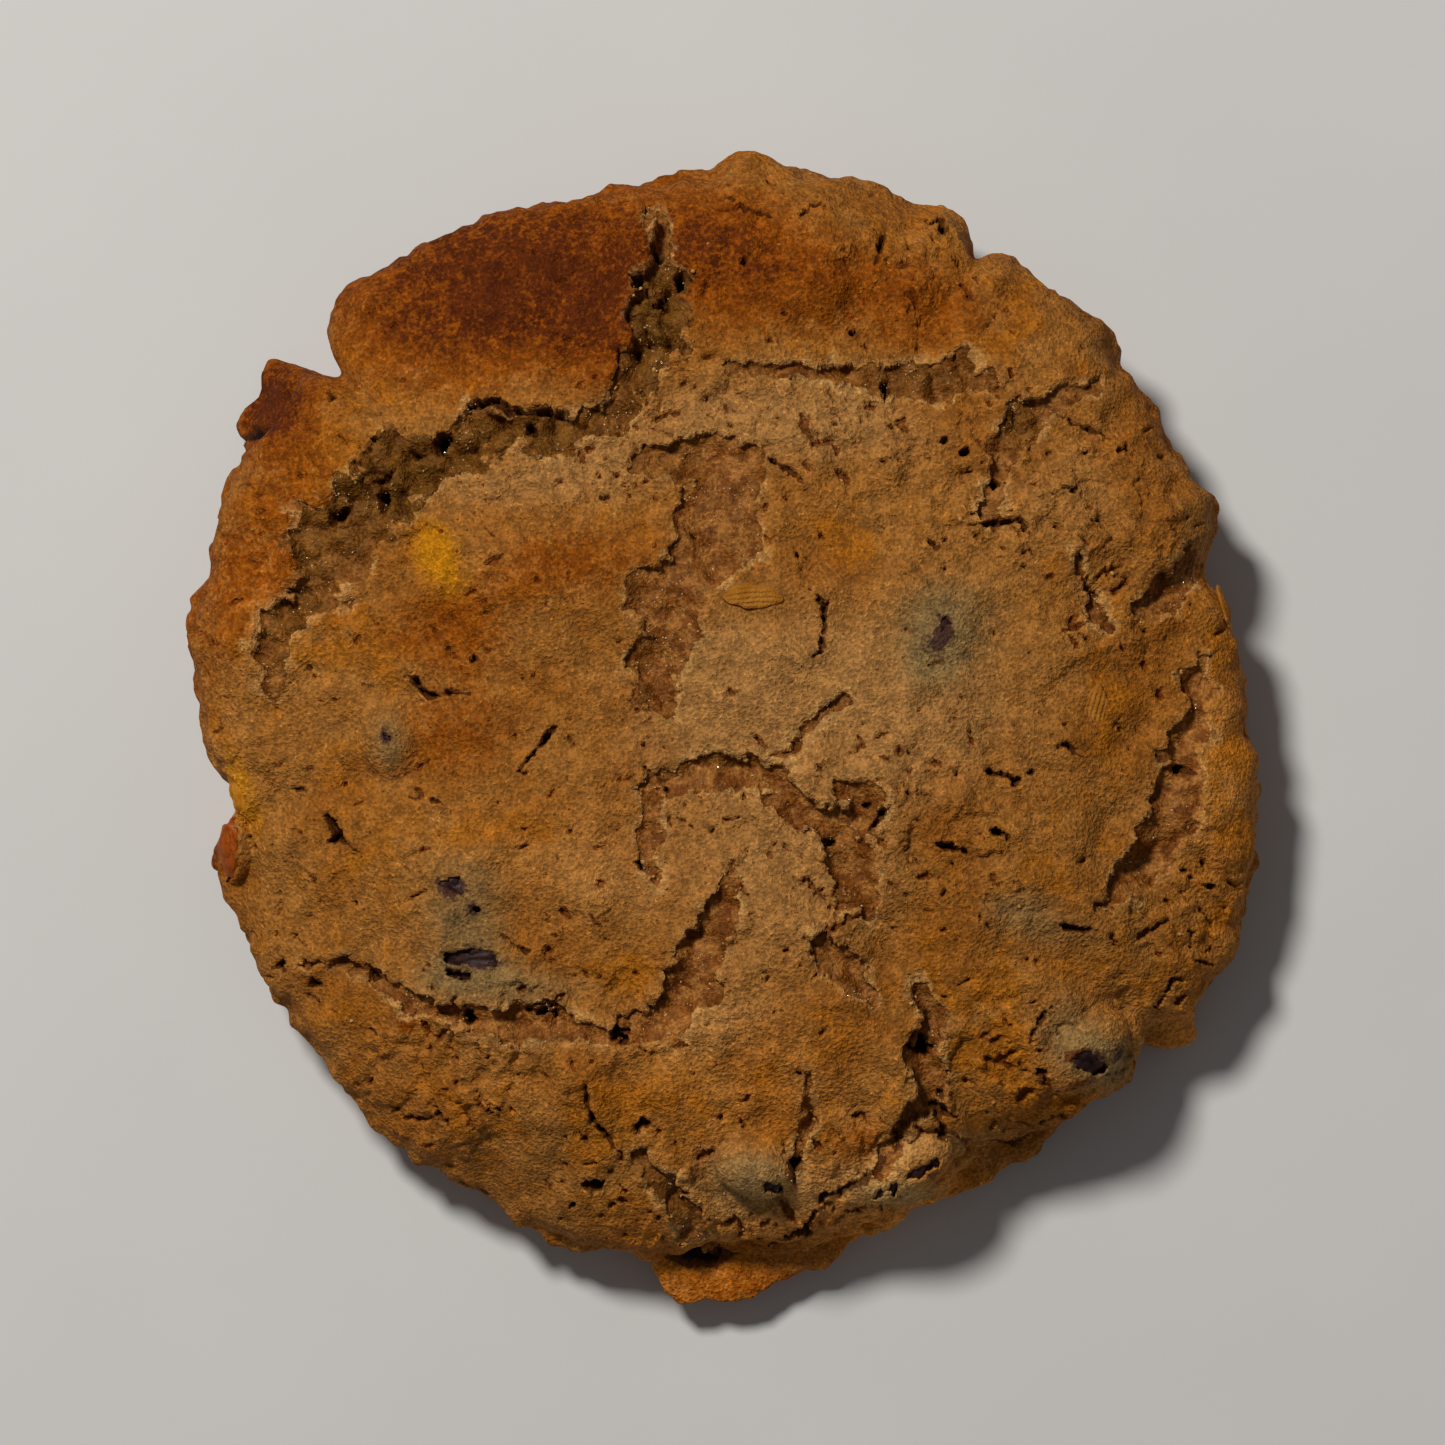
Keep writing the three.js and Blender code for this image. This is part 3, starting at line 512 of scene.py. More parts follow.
def patches_at(patches, x, y):
    return sum(
        strength * bell(np.hypot((x - cx) / rx, (y - cy) / ry)) for cx, cy, rx, ry, strength in patches)


def swells_at(x, y):
    """How far its broad swells and the oat flakes under its skin raise the crust."""
    rise = patches_at(SWELLS, x, y)
    for cx, cy, length, width, degrees in COVERED_FLAKES:
        turn = radians(degrees)
        along = (x - cx) * cos(turn) + (y - cy) * sin(turn)
        across = (y - cy) * cos(turn) - (x - cx) * sin(turn)
        rise = rise + FLAKE_RISE * plateau(np.hypot(2 * along / length, 2 * across / width))
    return rise


def broken_places(plan, level, soften):
    """Where each place of the crust counts as lying when an edge is worked out: gently moved, and
    drawn to coarse or to fine grains. Also how nicked and how ragged an edge is there."""
    drift = np.stack([
        0.5 * noise(level, 2.7, seed) + 0.25 * noise(level, 1.15, seed + 1) for seed in (11, 47)], 1)
    soft = plan + drift
    broken = drawn_to_grains(drawn_to_grains(soft, 1.1, 0.35, 61), 0.5, 0.35, 62)
    fine = drawn_to_grains(plan + 0.5 * drift, 0.42, 0.5, 63)
    nicks = 0.3 * noise(fine, 1.1, 67) + 0.2 * noise(fine, 0.5, 68)
    ragged = 0.95 * noise(broken, 3.2, 64) + 1.1 * noise(broken, 1.5, 65) + 0.45 * noise(broken, 0.75, 66)
    ragged = ragged + 0.8 * nicks
    ragged = ragged + soften * (1.5 * noise(fine, 1.7, 76) + 1.2 * noise(fine, 0.8, 77))
    return soft, broken, fine, nicks, ragged


def gaps_at(plan, soft, broken, ragged, soften):
    """What the fissures do to the crust: how far it sinks, its lips, how it leans over each gap,
    how far the nearest gap's edge is, and how shut that gap is."""
    firm = (0.4 + 0.6 * smoothstep(-0.25, 0.25, noise(plan, 3.6, 69))) * (1 - 0.7 * soften)
    sunk, lip, shut = (np.zeros(len(plan)) for _ in range(3))
    lean = np.zeros((len(plan), 2))
    gap = np.full(len(plan), PLAIN_MASKS["gap"])
    for depth, edge, climb, path in FISSURES.values():
        some = near(path, plan, 6)
        loose, side, _ = gap_to(path, soft[some])
        tight, _, away = gap_to(path, broken[some])
        tight = tight + min(np.mean([half for _, _, half in path]) / 1.5, 1) * ragged[some]
        closed = 1 - climb * smoothstep(-0.5, 0.9, side)
        step = firm[some] * (STEP + 0.4 * depth * closed) * smoothstep(0.14, -0.22, tight)
        bowl = 0.45 * depth * closed * smoothstep(0.1, -1.6, loose)
        sunk[some] = np.maximum(sunk[some], step + bowl)
        lip[some] = np.maximum(lip[some], edge * closed * bell(np.maximum(loose, 0) / LIP_REACH))
        nearer = tight < gap[some]
        chosen = some[nearer]
        over = OVERHANG * closed * (bell((tight - 0.1) / 0.3) - bell((tight + 0.4) / 0.3))
        lean[chosen] = -over[nearer, None] * away[nearer]
        gap[chosen] = tight[nearer]
        shut[chosen] = closed[nearer] * (1 - 0.7 * soften[chosen])
    return sunk, lip, lean, gap, shut


def cuts_at(plan, fine, nicks):
    """How far the edge of the nearest hairline crack or steam hole is, below 0 inside it."""
    cut = np.full(len(plan), PLAIN_MASKS["cut"])
    for half, points in HAIRLINES:
        ends = (0, len(points) - 1)
        path = [(px, py, 0 if k in ends else 0.75 * half) for k, (px, py) in enumerate(points)]
        some = near(path, plan, 3)
        cut[some] = np.minimum(cut[some], gap_to(path, fine[some])[0] + 0.75 * nicks[some])
    for cx, cy, radius in HOLES:
        some = near([(cx, cy, 0)], plan, 3)
        reach = np.hypot((fine[some, 0] - cx) * 0.8, fine[some, 1] - cy) + 3.2 * radius * nicks[some]
        cut[some] = np.minimum(cut[some], reach - 0.55 * radius)
    return cut


def sheets_at(plan, broken, ragged, rough):
    """How many thin sheets with torn edges lie on the crust: none where its skin is smooth."""
    flaked = np.zeros(len(plan))
    for size, share, seed in FLAKED_SHEETS:
        sheet = noise(broken, size, seed) + 0.16 * ragged - share
        uneven = rough + 0.6 * noise(plan, 7, seed + 1)
        flaked += smoothstep(-0.04, 0.04, sheet) * smoothstep(0.1, 0.6, uneven)
    return flaked


def pores_at(plan, fine, rough, crumb):
    """Where steam left ragged pits and slits, above 0 in them: more in some parts than in others."""
    often = 0.22 * noise(plan, 12, 43) + 0.18 * rough
    pore = noise(fine, 1.0, 41) + 0.5 * noise(fine, 0.5, 42) + often - 0.72
    for degrees, seed in SLIT_TURNS:
        turn = radians(degrees)
        along, across = fine @ (cos(turn), sin(turn)), fine @ (-sin(turn), cos(turn))
        slit = noise(np.stack([along / 2.6, across / 0.75], 1), 1, seed)
        pore = np.maximum(pore, slit + often - 0.64)
    return pore - 2 * crumb


def crust_relief(x, y):
    """The crust over the smooth dome: its rise, how it leans over each gap, and its masks. The
    masks gap and cut are the distance to the nearest gap and slit, in mm, below 0 inside it."""
    plan = np.stack([x, y], 1)
    level = np.stack([x, y, 0 * x], 1)
    rough, soften = (np.clip(patches_at(patches, x, y), 0, 1) for patches in (ROUGH, SOFTENED))
    soft, broken, fine, nicks, ragged = broken_places(plan, level, soften)
    sunk, lip, lean, gap, shut = gaps_at(plan, soft, broken, ragged, soften)
    cut = cuts_at(plan, fine, nicks)
    sunk = sunk + CUT_DEPTH * smoothstep(0.08, -0.25, cut) + HOLE_DEPTH * smoothstep(-0.15, -0.6, cut)
    lip = np.maximum(lip, 0.12 * bell(np.maximum(cut, 0) / 0.6))
    crumb = smoothstep(0.08, -0.1, gap)
    dry = 1 - crumb
    pore = pores_at(plan, fine, rough, crumb)
    flaked = sheets_at(plan, broken, ragged, rough)
    # The dough is lumpy, and lumpier where it is rough or moist.
    crags = 0.9 * noise(level, 9.3, 5) + 0.45 * noise(level, 3.1, 9)
    grain = 0.09 * noise(plan, 1.7, 21) + 0.05 * noise(plan, 0.8, 22) + 0.25 * crumb * noise(soft, 1.9, 24)
    big, big_seam, luck, _ = nearest_grain(soft, 2.3, 31)
    small, small_seam, _, _ = nearest_grain(soft, 1.05, 32)
    rubble = crumb * np.clip(patches_at(OLIVE, x, y), 0, 1)
    lumpy = 0.12 + 0.35 * rough + 0.5 * crumb
    lumps = lumpy * (0.3 * (1 - (big / 2.0) ** 2) + 0.18 * (1 - (small / 0.9) ** 2))
    heaped = rubble * (0.2 + 0.8 * luck) * np.maximum(1 - (big / 1.3) ** 2, -0.4)
    lumps += heaped + 0.5 * rubble * noise(fine, 1.1, 25)
    # The lumps part along their seams.
    parted = smoothstep(0.05, 0.3, noise(plan, 3.6, 46) + 0.2 * rough)
    crease = smoothstep(0.4, 0.05, big_seam + 1.5 * nicks) * np.maximum(0.8 * rubble, 0.3 * rough * parted)
    small_crease = 0.3 * smoothstep(0.2, 0.02, small_seam) * parted * np.maximum(crumb, 0.6 * rough)
    crease = np.maximum(crease, small_crease)
    total = swells_at(x, y) + lip + crags + grain + lumps - sunk + dry * SHEET * flaked
    total -= PIT_DEPTH * smoothstep(0.0, 0.18, pore) + (0.4 + 0.15 * rubble) * crease
    torn_edge = bell((gap + 0.3) / 0.6) * smoothstep(0.0, 0.3, noise(plan, 3.0, 79))
    masks = {
        "gap": gap, "shut": shut, "cut": cut, "pore": pore, "crease": crease,
        "crumbly": dry * 0.12 * rough**2 + torn_edge,
        "moist": crumb * (0.1 + smoothstep(0.05, 0.35, noise(plan, 3.4, 78))),
    }
    return total, lean, masks


def disc_corners(rings):
    """The corners of a hexagonal disc whose ring k has 6k of them: each one's ring and angle."""
    ring = np.repeat(np.arange(rings + 1), [max(6 * k, 1) for k in range(rings + 1)])
    first = np.where(ring == 0, 0, 1 + 3 * ring * (ring - 1))
    return ring, 2 * pi * (np.arange(len(ring)) - first) / np.maximum(6 * ring, 1)


def disc_faces(rings):
    """The triangles of such a disc, as seen from above."""
    first = [0] + [1 + 3 * k * (k - 1) for k in range(1, rings + 1)]
    faces = []
    for k in range(1, rings + 1):
        j = np.arange(6 * k)
        sector, step = j // k, j % k
        inner_count = max(6 * (k - 1), 1)
        outer, following = first[k] + j, first[k] + (j + 1) % (6 * k)
        inner = first[k - 1] + (sector * (k - 1) + step) % inner_count
        beyond = first[k - 1] + (sector * (k - 1) + step + 1) % inner_count
        faces.append(np.stack([outer, following, inner], 1))
        faces.append(np.stack([following, beyond, inner], 1)[step < k - 1])
    return np.vstack(faces)


def mesh_from(name, points, faces, masks=None):
    """A mesh from points in millimetres and triangles, with a number for each point in each mask."""
    mesh = bpy.data.meshes.new(name)
    mesh.vertices.add(len(points))
    mesh.vertices.foreach_set("co", (np.asarray(points, float) * MM).astype(np.float32).ravel())
    mesh.loops.add(3 * len(faces))
    mesh.loops.foreach_set("vertex_index", np.asarray(faces, np.int32).ravel())
    mesh.polygons.add(len(faces))
    mesh.polygons.foreach_set("loop_start", np.arange(0, 3 * len(faces), 3, dtype=np.int32))
    for mask, values in (masks or {}).items():
        layer = mesh.attributes.new(mask, "FLOAT", "POINT")
        layer.data.foreach_set("value", np.asarray(values, np.float32))
    mesh.update(calc_edges=True)
    mesh.validate()
    mesh.polygons.foreach_set("use_smooth", np.ones(len(faces), bool))
    return mesh


# The fruit: middle in plan, half-axes, turn in degrees, and the ragged openings in the skin of
# crust over it as paths of (x, y, half-width).
FRUIT = {
    "raisin_east": ((18.4, 7.3), (4.0, 3.2, 2.2), 70, [[(18.5, 7.1, 0.25), (18.8, 7.8, 0.35)]]),
    "raisin_west": ((-28.3, -1.5), (3.6, 2.6, 2.0), 100, [[(-28.5, -1.4, 0.3), (-28.2, -1.9, 0.25)]]),
    "raisin_southwest_upper": ((-22.5, -14.0), (4.0, 2.8, 2.2), 150, [
        [(-23.4, -14.0, 0.3), (-22.5, -14.1, 0.5), (-21.8, -14.6, 0.3)],
        [(-20.9, -16.0, 0.3), (-20.6, -16.3, 0.3)]]),
    "raisin_southwest_lower": ((-20.7, -20.2), (4.4, 2.8, 2.2), 5, [
        [(-22.6, -20.2, 0.5), (-20.8, -20.1, 0.8), (-19.4, -20.5, 0.6)],
        [(-23.0, -21.4, 0.3), (-21.4, -21.9, 0.4)]]),
    "raisin_southeast": ((31.2, -28.6), (4.2, 3.0, 2.2), 35, [
        [(30.2, -28.6, 0.5), (31.2, -29.2, 0.7), (32.0, -29.4, 0.4)]]),
    "raisin_south": ((15.4, -38.9), (4.6, 2.6, 2.0), 28, [
        [(12.9, -40.3, 0.2), (14.6, -39.6, 0.25)],
        [(15.6, -38.7, 0.2), (16.8, -38.1, 0.45), (18.2, -37.2, 0.4)]]),
    "raisin_south_small": ((2.6, -38.4), (3.2, 2.2, 1.8), 160, [[(3.6, -39.4, 0.4), (4.6, -39.6, 0.5)]]),
    "sultana_northwest": ((-24.0, 13.3), (3.6, 3.0, 2.0), 20, []),
    "sultana_west": ((-40.6, -4.4), (4.4, 2.6, 2.2), 95, []),
    "peel_west": ((-41.6, -11.0), (2.6, 1.5, 1.2), 80, [
        [(-42.4, -9.0, 1.2), (-42.3, -10.8, 1.3), (-42.2, -12.8, 1.0)]]),
}
# How thick the skin over the fruit is, how far its edge blends into the crust and swells there, and
# how far an opening goes down past the fruit's top, in mm.
SKIN = 0.3
SKIN_BLEND = 1.2
SKIN_SWELL = 0.6
OPENING_DEPTH = 0.7
top_section = spaced_section(TOP_SECTION, TOP_RINGS)


def standing_on(normal, degrees):
    """The turn that stands a piece upright on a slope and spins it."""
    upright = Vector((0, 0, 1)).rotation_difference(normal).to_matrix()
    return upright @ Matrix.Rotation(radians(degrees), 3, "Z")


def fruit_pose(name):
    """A fruit's middle, which is its node's, and its turn: upright on the dome, then spun."""
    at, _, degrees, _ = FRUIT[name]
    low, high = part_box(name)
    middle = (low + high) / 2 / MM
    angle = np.arctan2([at[1]], [at[0]])
    share = np.hypot(*at) / crust_radius(angle)[0]
    ring = min(np.searchsorted(top_section[0], share), TOP_RINGS)
    out, up = top_section[2][ring], top_section[3][ring]
    normal = Vector((out * cos(angle[0]), out * sin(angle[0]), up)).normalized()
    return middle, standing_on(normal, degrees)


def fruit_top(name, x, y, grown):
    """The height of a fruit's upper side over each point of the plan, and where it has one."""
    middle, turn = fruit_pose(name)
    half = np.array(FRUIT[name][1]) + grown
    turn = np.array(turn)
    start = np.stack([x - middle.x, y - middle.y, 0 * x], 1) @ turn / half
    way = turn[2] / half
    a, b, c = way @ way, start @ way, np.sum(start * start, axis=1) - 1
    inside = b * b - a * c > 0
    return middle.z + (np.sqrt(np.maximum(b * b - a * c, 0)) - b) / a, inside


def laid_over_fruit(x, y, z, masks):
    """The crust's height raised as a skin over each fruit, and sunk below it at the openings."""
    plan = np.stack([x, y], 1)
    level = np.stack([x, y, 0 * x], 1)
    drift = np.stack([0.35 * noise(level, 1.6, seed) for seed in (91, 92)], 1)
    torn = drawn_to_grains(plan + drift, 0.5, 0.6, 93)
    for name, (_, half, _, openings) in FRUIT.items():
        some = near([(*FRUIT[name][0], 0)], plan, max(half) + 3)
        top, inside = fruit_top(name, x[some], y[some], SKIN)
        top = np.where(inside, top, -9)
        blend = np.clip(0.5 + (top - z[some]) / SKIN_BLEND, 0, 1)
        covered = z[some] + (top - z[some]) * blend + SKIN_SWELL * blend * (1 - blend) * inside
        z[some] = np.where(inside | (blend > 0), np.maximum(covered, z[some]), z[some])
        bare, within = fruit_top(name, x[some], y[some], 0)
        for path in openings:
            open_share = smoothstep(0.05, -0.2, gap_to(path, torn[some])[0])
            floor = np.where(within, bare, z[some]) - OPENING_DEPTH
            z[some] += np.minimum(floor - z[some], 0) * open_share
            if not name.startswith("sultana"):
                masks["cut"][some] = np.minimum(masks["cut"][some], 0.2 - 0.5 * open_share)
    return z


# Where the oven browned the crust most: (x, y, radius across, radius along, strength).
BROWNED = [
    (-24, 36, 10, 8, 0.9), (-14, 38, 9, 7, 0.9), (-9, 32, 4, 5, 0.6), (-2, 42, 8, 5, 0.55),
    (4, 37, 9, 5, 0.6), (17, 35, 8, 5, 0.45), (-13, 13, 9, 3.5, 0.5), (-23, 7.5, 7, 3.5, 0.5),
    (-36, 20, 5, 8, 0.4), (-43, 10, 4, 10, 0.4), (-22, -1, 6, 5, 0.45), (-36, 12, 5, 6, 0.3),
    (-8, -31, 5, 4, 0.2), (5, -33, 3, 3, 0.2), (12, -35.5, 3, 2.5, 0.4), (30, 27, 10, 7, 0.2),
    (2, -48, 10, 2, 0.35), (-38.5, 27.5, 3.4, 4, 1.1), (-32, -6, 7, 5, 0.15), (-36, -20, 5, 8, 0.12),
    (-26.7, -25.8, 0.7, 0.6, 1.1), (-43.2, -11.2, 1.3, 2.0, 0.55),
]
# Where it stayed pale, or, below 0, where it is deeper than around.
PALED = [
    (5, 25, 14, 4, 1.0), (15, 1, 12, 9, 0.8), (2, 4, 9, 6, 0.6), (5, -13, 9, 8, 0.7),
    (-12, 21, 7, 3, 0.7), (-3, -2, 8, 6, 0.4), (-12, -13, 9, 6, 0.45), (29, 19, 7, 5, 0.4),
    (0, -24, 6, 6, 0.4), (-10, -26, 12, 3, 0.4), (4, -40, 7, 3, 0.9), (-20, 19, 6, 2, 0.5),
    (17, -36, 3, 1.6, 0.9), (28, -24, 3, 3, 0.5), (13, -38.4, 3, 1.4, 0.9), (24, -26, 4, 4, -0.7),
    (-7, -22, 3, 3, -0.7), (32, 2, 2, 3, -0.5), (43, -8, 2.5, 12, -0.3), (5, -32, 3, 3, -0.3),
    (-8, -32, 4, 3, -0.6), (11, 15, 4, 2, -0.6), (20, -10, 3, 2, -0.4), (-30, 6, 6, 3, -0.6),
    (-34, 22, 5, 6, -0.8), (-11, -38, 4, 3, -0.4), (22, 29, 8, 5, -0.3), (27, -33, 6, 3, -0.5),
    (-20, -10, 8, 5, -0.25),
]
# Painted light on foot, wall and rim: (x, y, radius across, radius along, share).
PAINTED_LIGHT_PATCHES = [
    (2, -31, 12, 6, 0.42), (43, -6, 4, 14, 0.38), (-38, 9, 4, 7, 0.2), (-12, -12, 8, 5, 0.17),
    (-1, -48, 9, 4.5, 0.75), (18, -41.5, 13, 4, 1.0), (34, -30, 6, 6, 0.25), (-6, 42, 20, 4, 0.08),
    (-43, -6, 3, 10, 0.15), (39.5, -26.5, 2.5, 2.5, 0.9), (-24, -29, 9, 6, 0.1), (27, -22, 7, 6, 0.1),
]
# Fruit under the crust greys or gilds it, and where the skin is thinnest its plum colour shows
# through: (x, y, radius across, radius along, strength).
GREYED = [
    (18.0, 7.0, 3.6, 4.4, 0.8), (-28.0, -2.0, 2.0, 3.0, 0.7), (-21.5, -17.0, 4.2, 6.5, 0.75),
    (-21.5, -21.8, 5.0, 1.8, 0.6), (29.0, -27.0, 3.6, 4.0, 0.7), (33.0, -29.0, 2.5, 2.5, 0.8),
    (15.0, -40.0, 5.0, 1.6, 0.8), (2.4, -38.6, 5.0, 3.4, 0.75), (24.6, -16.0, 3.5, 2.4, 0.6),
    (-15.5, -26.0, 3.5, 2.4, 0.6), (21, 9, 6, 5, 0.3), (29, -18, 4, 2, 0.4), (-14.0, -22.5, 5, 1.5, 0.4),
    (17.2, 4.2, 2.4, 1.8, 0.35),
]
PLUM = [
    (18.7, 7.4, 0.9, 1.2, 1.0), (17.9, 6.2, 0.8, 0.8, 0.6), (-28.4, -1.6, 0.5, 0.8, 0.9),
    (-22.7, -14.2, 1.4, 0.9, 1.0), (-20.8, -16.1, 0.6, 0.5, 0.9), (31.0, -28.6, 1.6, 0.9, 0.9),
    (-20.8, -20.3, 2.2, 1.0, 0.8), (33.4, -28.0, 0.5, 0.9, 0.8), (17.0, 5.4, 2.2, 2.2, 0.28),
    (-22.0, -16.6, 1.5, 2.5, 0.25), (2.4, -38.8, 3.0, 1.6, 0.25), (16.8, -38.3, 2.0, 0.5, 0.6),
]
GILDED = [
    (-24.6, 14.8, 2.2, 2.2, 0.85), (-23.5, 13.0, 1.7, 2.0, 0.6), (-41.3, -4.2, 1.3, 2.4, 0.65),
    (-40.1, -7.2, 1.4, 2.4, 0.65), (-39.2, -9.6, 1.3, 1.6, 0.35), (-22.5, 11.2, 3.0, 2.2, 0.4),
]


def closed_below(points, faces, masks, last):
    """The shape closed by a flat bottom: rings of its last corners drawn in towards the middle."""
    layers, faces, outer = [points], [faces], last
    for step in range(1, BOTTOM_RINGS + 1):
        inner = np.arange(len(last)) + len(points) + (step - 1) * len(last)
        drawn_in = 1 - step / (BOTTOM_RINGS + 1)
        layers.append(points[last] * [drawn_in, drawn_in, 1])
        faces.append(np.stack([np.roll(outer, -1), outer, inner], 1))
        faces.append(np.stack([np.roll(outer, -1), inner, np.roll(inner, -1)], 1))
        outer = inner
    middle = len(points) + BOTTOM_RINGS * len(last)
    layers.append(np.zeros((1, 3)))
    faces.append(np.stack([np.roll(outer, -1), outer, np.full(len(outer), middle)], 1))
    under = BOTTOM_RINGS * len(last) + 1
    masks = {
        name: np.concatenate([values, np.full(under, UNDERSIDE_MASKS.get(name, 0.0))])
        for name, values in masks.items()
    }
    return np.vstack(layers), np.vstack(faces), masks


def baked_mesh():
    """The whole body as a hexagonal disc laid over dome, shoulder, wall and flat bottom."""
    wall_section = spaced_section(WALL_SECTION, WALL_RINGS)
    share, height, out, up = (np.concatenate([top_section[k], wall_section[k][1:]]) for k in range(4))
    rings = len(share) - 1
    ring, angle = disc_corners(rings)
    share, height, out, up = share[ring], height[ring], out[ring], up[ring]
    on_wall = ring > TOP_RINGS
    raised = nubs_at(FOOT_RISES, angle, plateau)
    foot_top = (FOOT_TOP + FOOT_TOP_RISE * raised) * SHOULDER_HEIGHT
    to_foot = np.where(on_wall, smoothstep(SHOULDER_HEIGHT, foot_top, height), 0)
    edge = crust_radius(angle)
    radius = edge + (foot_radius(angle) + FOOT_SPREAD - edge) * to_foot
    x, y = share * radius * np.cos(angle), share * radius * np.sin(angle)
    rise, lean, masks = crust_relief(x, y)
    # The wall is lumpy and chipped, and the crust's slits run on down it.
    body = np.stack([x, y, height], 1)
    lumps = WALL_LUMPS * noise(body, 5.3, 51) + 0.5 * noise(body, 2.1, 52) + 0.2 * noise(body, 1.0, 53)
    chips, _, luck, _ = nearest_grain(body, 2.6, 54)
    lumps -= CHIP_DEPTH * luck * smoothstep(0.85, 0.25, chips)
    rimward = smoothstep(RIM_START, 1.0, share)
    wall = np.where(on_wall, 1, rimward)
    slit_wall = lumps - WALL_SLIT_DEPTH * smoothstep(0.1, -0.25, masks["cut"])
    rise = np.where(on_wall, slit_wall, rise + (lumps - rise) * rimward)
    lean = lean * (1 - smoothstep(0.94, 0.98, share))[:, None]
    for name, plain in PLAIN_MASKS.items():
        if name != "cut":
            masks[name] = masks[name] + (plain - masks[name]) * wall
    tall = height * (1 + RIM_UNEVEN * share**3 * noise(np.stack([x, y, 0 * x], 1), 24, 33))
    tall = tall * (1 - SHOULDER_DROP * raised * share**6)
    x = x + rise * out * np.cos(angle) + lean[:, 0]
    y = y + rise * out * np.sin(angle) + lean[:, 1]
    z = np.where(ring == rings, 0, np.maximum(tall + rise * up, FOOT_CLEAR))
    top = np.flatnonzero((share < SKIN_LIMIT) & ~on_wall)
    over = {name: values[top] for name, values in masks.items()}
    z[top] = laid_over_fruit(x[top], y[top], z[top], over)
    for name, values in over.items():
        masks[name][top] = values
    masks["brown"] = patches_at(BROWNED, x, y) + 0.12 * wall + 0.15 * smoothstep(3.0, 0.3, tall) * on_wall
    masks["pale"] = patches_at(PALED, x, y) * (1 - wall)
    on_top = np.where(on_wall, smoothstep(*STAIN_FADE, tall), 1)
    for name, patches in (("grey", GREYED), ("plum", PLUM), ("gold", GILDED)):
        masks[name] = patches_at(patches, x, y) * on_top
    # Painted light, as a mask over the foot, the wall turned from the lamp and parts of the rim.
    masks["dried"] = patches_at(PAINTED_LIGHT_PATCHES, x, y)
    masks["olive"] = patches_at(OLIVE, x, y)
    last = np.flatnonzero(ring == rings)
    return mesh_from("cookie_crust", *closed_below(np.stack([x, y, z], 1), disc_faces(rings), masks, last))


def settled(piece):
    """The piece with what its modifiers make of it as its own mesh."""
    bpy.context.view_layer.update()
    evaluated = piece.evaluated_get(bpy.context.evaluated_depsgraph_get())
    piece.data = bpy.data.meshes.new_from_object(evaluated)
    piece.modifiers.clear()
    return piece


def thinned(mesh, most):
    """The mesh as an object with at most that many triangles, kept where the relief is sharp."""
    piece = in_scene(mesh.name, mesh)
    thin = piece.modifiers.new("thin", "DECIMATE")
    thin.ratio = min(1.0, most / len(mesh.polygons))
    return settled(piece)


crust = thinned(baked_mesh(), CRUST_TRIANGLES)


# ---- The baked body: its finish -----------------------------------------------------------------
# Dry sandy crust, tan to orange-brown where the oven caught it, with freckles and pores. The crumb
# in the gaps is moist, darker and glossy, and fruit close under the crust stains it grey or gold.
# Painted shade darkens the crumb under each gap's closed edge and its creases, pits, slits and holes,
# and painted light brightens the foot and the wall turned from the lamp.

TAN_LIGHT = (0.330, 0.133, 0.0245, 1)
TAN_DEEP = (0.282, 0.0955, 0.011, 1)
PALE = (0.372, 0.175, 0.048, 1)
OCHRE = (0.35, 0.112, 0.004, 1)
TOASTED = (0.235, 0.056, 0.001, 1)
BROWN = (0.098, 0.018, 0.0014, 1)
TORN = (0.50, 0.265, 0.080, 1)
CRUMB_PALE = (0.30, 0.118, 0.024, 1)
CRUMB_DEEP = (0.178, 0.053, 0.007, 1)
CRUMB_OLIVE = (0.150, 0.060, 0.008, 1)
# Painted shade for crevices: under closed gap edges, in creases and at the edges of slits.
PAINTED_CREVICE_SHADE = (0.055, 0.014, 0.002, 1)
# The brown of the freckles, also painted into the pits as shade.
FRECKLE_AND_PIT_SHADE = (0.12, 0.026, 0.002, 1)
STAIN_GREY = (0.22, 0.142, 0.052, 1)
STAIN_PLUM = (0.055, 0.022, 0.020, 1)
STAIN_GOLD = (0.50, 0.19, 0.002, 1)
# Painted shadow, near black, deep inside slits and holes.
PAINTED_HOLE_SHADOW = (0.010, 0.003, 0.001, 1)


def mixed(tree, share, first, second):
    """The colour between two colours, by a share."""
    node = add_node(tree, "ShaderNodeMix", {"Factor": share, 6: first, 7: second}, data_type="RGBA")
    return node.outputs[2]


def ranged(tree, value, low, high, to_low=0.0, to_high=1.0):
    """A value mapped smoothly from one range to another, and kept inside it."""
    node = add_node(
        tree, "ShaderNodeMapRange",
        {"Value": value, "From Min": low, "From Max": high, "To Min": to_low, "To Max": to_high},
        interpolation_type="SMOOTHSTEP",
    )
    return node.outputs["Result"]


def sums(tree, first, second, operation="MULTIPLY", third=0.0):
    """The result of one sum on two or three values."""
    return add_node(tree, "ShaderNodeMath", {0: first, 1: second, 2: third}, operation=operation).outputs[0]


def noise_in(tree, vector, scale, detail=3.0, roughness=0.6):
    """A noise texture's value at a place, in swells of one metre over its scale."""
    values = {"Vector": vector, "Scale": scale, "Detail": detail, "Roughness": roughness}
    return add_node(tree, "ShaderNodeTexNoise", values).outputs["Fac"]


def mask_in(tree, name):
    """The value of one of the mesh's masks."""
    return add_node(tree, "ShaderNodeAttribute", attribute_name=name).outputs["Fac"]


